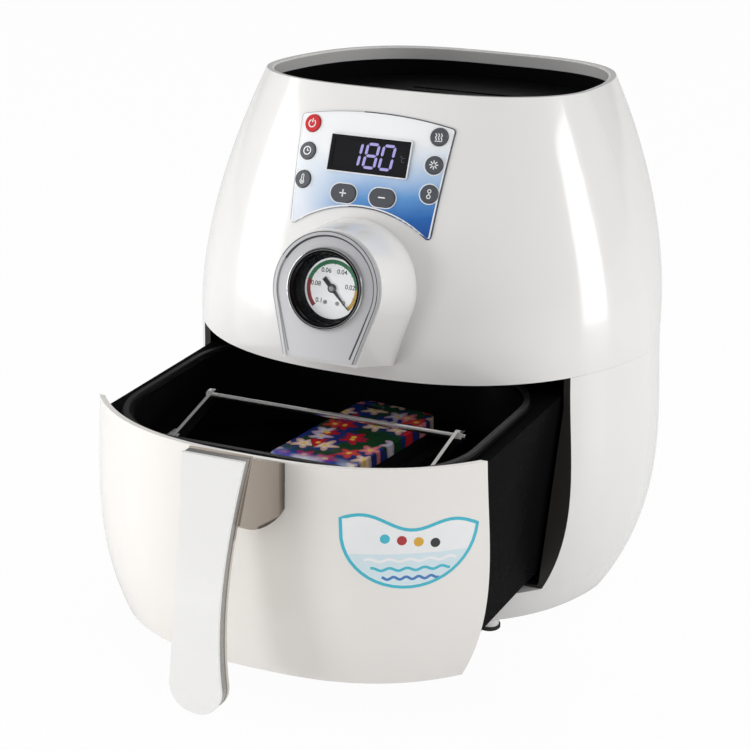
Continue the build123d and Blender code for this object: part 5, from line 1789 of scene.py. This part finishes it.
@dataclass
class Studio:
    """Floor, lamps, surroundings and camera."""

    camera_at: Point3 = (609.6, -1431.5, 702.8)
    azimuth: float = 25.0
    elevation: float = 20.0
    focal_pixels: float = 2200.0
    frame_pixels: float = 750.0
    sensor: float = 36.0
    floor_half_metres: float = 30.0
    floor_colour: Colour = (0.9, 0.9, 0.9)
    floor_glow: float = 0.965
    floor_in_gloss: float = 0.3
    soft_world: Colour = (0.66, 0.66, 0.66)
    glossy_world: Colour = (0.22, 0.22, 0.225)
    white: Colour = (1.0, 1.0, 1.0)
    lamps: tuple[SoftBox, ...] = (
        SoftBox("left_box", (-1.9, -1.0, 0.55), (1.2, 1.5), 20.0),
        SoftBox("right_box", (1.9, 0.25, 0.45), (0.6, 1.5), 15.0),
        SoftBox("top_box", (0.0, -0.2, 1.9), (1.4, 1.2), 0.8),
        SoftBox("front_fill", (-0.9, -2.2, 0.25), (0.5, 0.5), 9.0, False),
    )

    def camera(self) -> None:
        """Sets the camera at the photograph's place."""
        az, el = radians(self.azimuth), radians(self.elevation)
        right = Vector((cos(az), sin(az), 0.0))
        up = Vector((-sin(az) * sin(el), cos(az) * sin(el), cos(el)))
        back = Vector((sin(az) * cos(el), -cos(az) * cos(el), sin(el)))
        data = bpy.data.cameras.new("studio_camera")
        data.sensor_width = self.sensor
        data.lens = self.focal_pixels * self.sensor / self.frame_pixels
        data.clip_end = 100.0
        camera = linked("studio_camera", data)
        at = Placement(Vector(self.camera_at), right, up, back)
        camera.matrix_world = Matrix.Translation(at.origin * MM) @ at.turn()
        bpy.context.scene.camera = camera

    def seen(self, graph: Graph, rays: bpy.types.NodeOutputs) -> Output:
        """1 where the camera looks, straight or through glass."""
        return graph.maths("MAXIMUM", rays["Is Camera Ray"], rays["Is Transmission Ray"])

    def floor(self) -> None:
        """Lays the pale floor, which keeps a soft shadow."""
        mesh = bpy.data.meshes.new("studio_floor")
        half = self.floor_half_metres
        corners = [(-half, -half, 0.0), (half, -half, 0.0), (half, half, 0.0), (-half, half, 0.0)]
        mesh.from_pydata(corners, [], [(0, 1, 2, 3)])
        floor = linked("studio_floor", mesh)
        on = Paint("studio_floor")
        on.surface(Base_Color=rgba(self.floor_colour), Roughness=0.35)
        glow = on.add("ShaderNodeEmission", None, Color=rgba(self.white), Strength=1.0)
        rays = on.add("ShaderNodeLightPath").outputs
        in_gloss = on.maths("MULTIPLY", rays["Is Glossy Ray"], self.floor_in_gloss)
        share = on.maths("MAXIMUM", self.seen(on, rays), in_gloss)
        blend = on.add("ShaderNodeMixShader")
        share = on.maths("MULTIPLY", share, self.floor_glow)
        for socket, value in zip(blend.inputs, (share, on.shader.outputs[0], glow.outputs[0])):
            on.feed(socket, value)
        on.feed(on.tree.nodes["Material Output"].inputs[0], blend.outputs[0])
        dress(floor, on.material)

    def surroundings(self) -> None:
        """Sets a white world to the camera and a softer one to the object."""
        world = bpy.data.worlds.new("studio_world")
        world.use_nodes = True
        bpy.context.scene.world = world
        graph = Graph(world.node_tree)
        rays = graph.add("ShaderNodeLightPath").outputs
        soft = graph.mix(rays["Is Glossy Ray"], self.soft_world, self.glossy_world)
        colour = graph.mix(self.seen(graph, rays), soft, self.white)
        graph.feed(world.node_tree.nodes["Background"].inputs["Color"], colour)

    def build(self) -> None:
        """Sets the whole studio."""
        self.camera()
        self.floor()
        self.surroundings()
        for lamp in self.lamps:
            lamp.build()
        bpy.context.scene.view_settings.view_transform = "Standard"
        log.info("studio")


def main() -> None:
    """Builds the sub-assemblies in order."""
    for assembly in (Studio(), PackedPieces(), ControlOverlay(), VacuumGauge(), Drawer()):
        assembly.build()
        log.info("%s done", type(assembly).__name__)


if __name__ == "__main__":
    main()
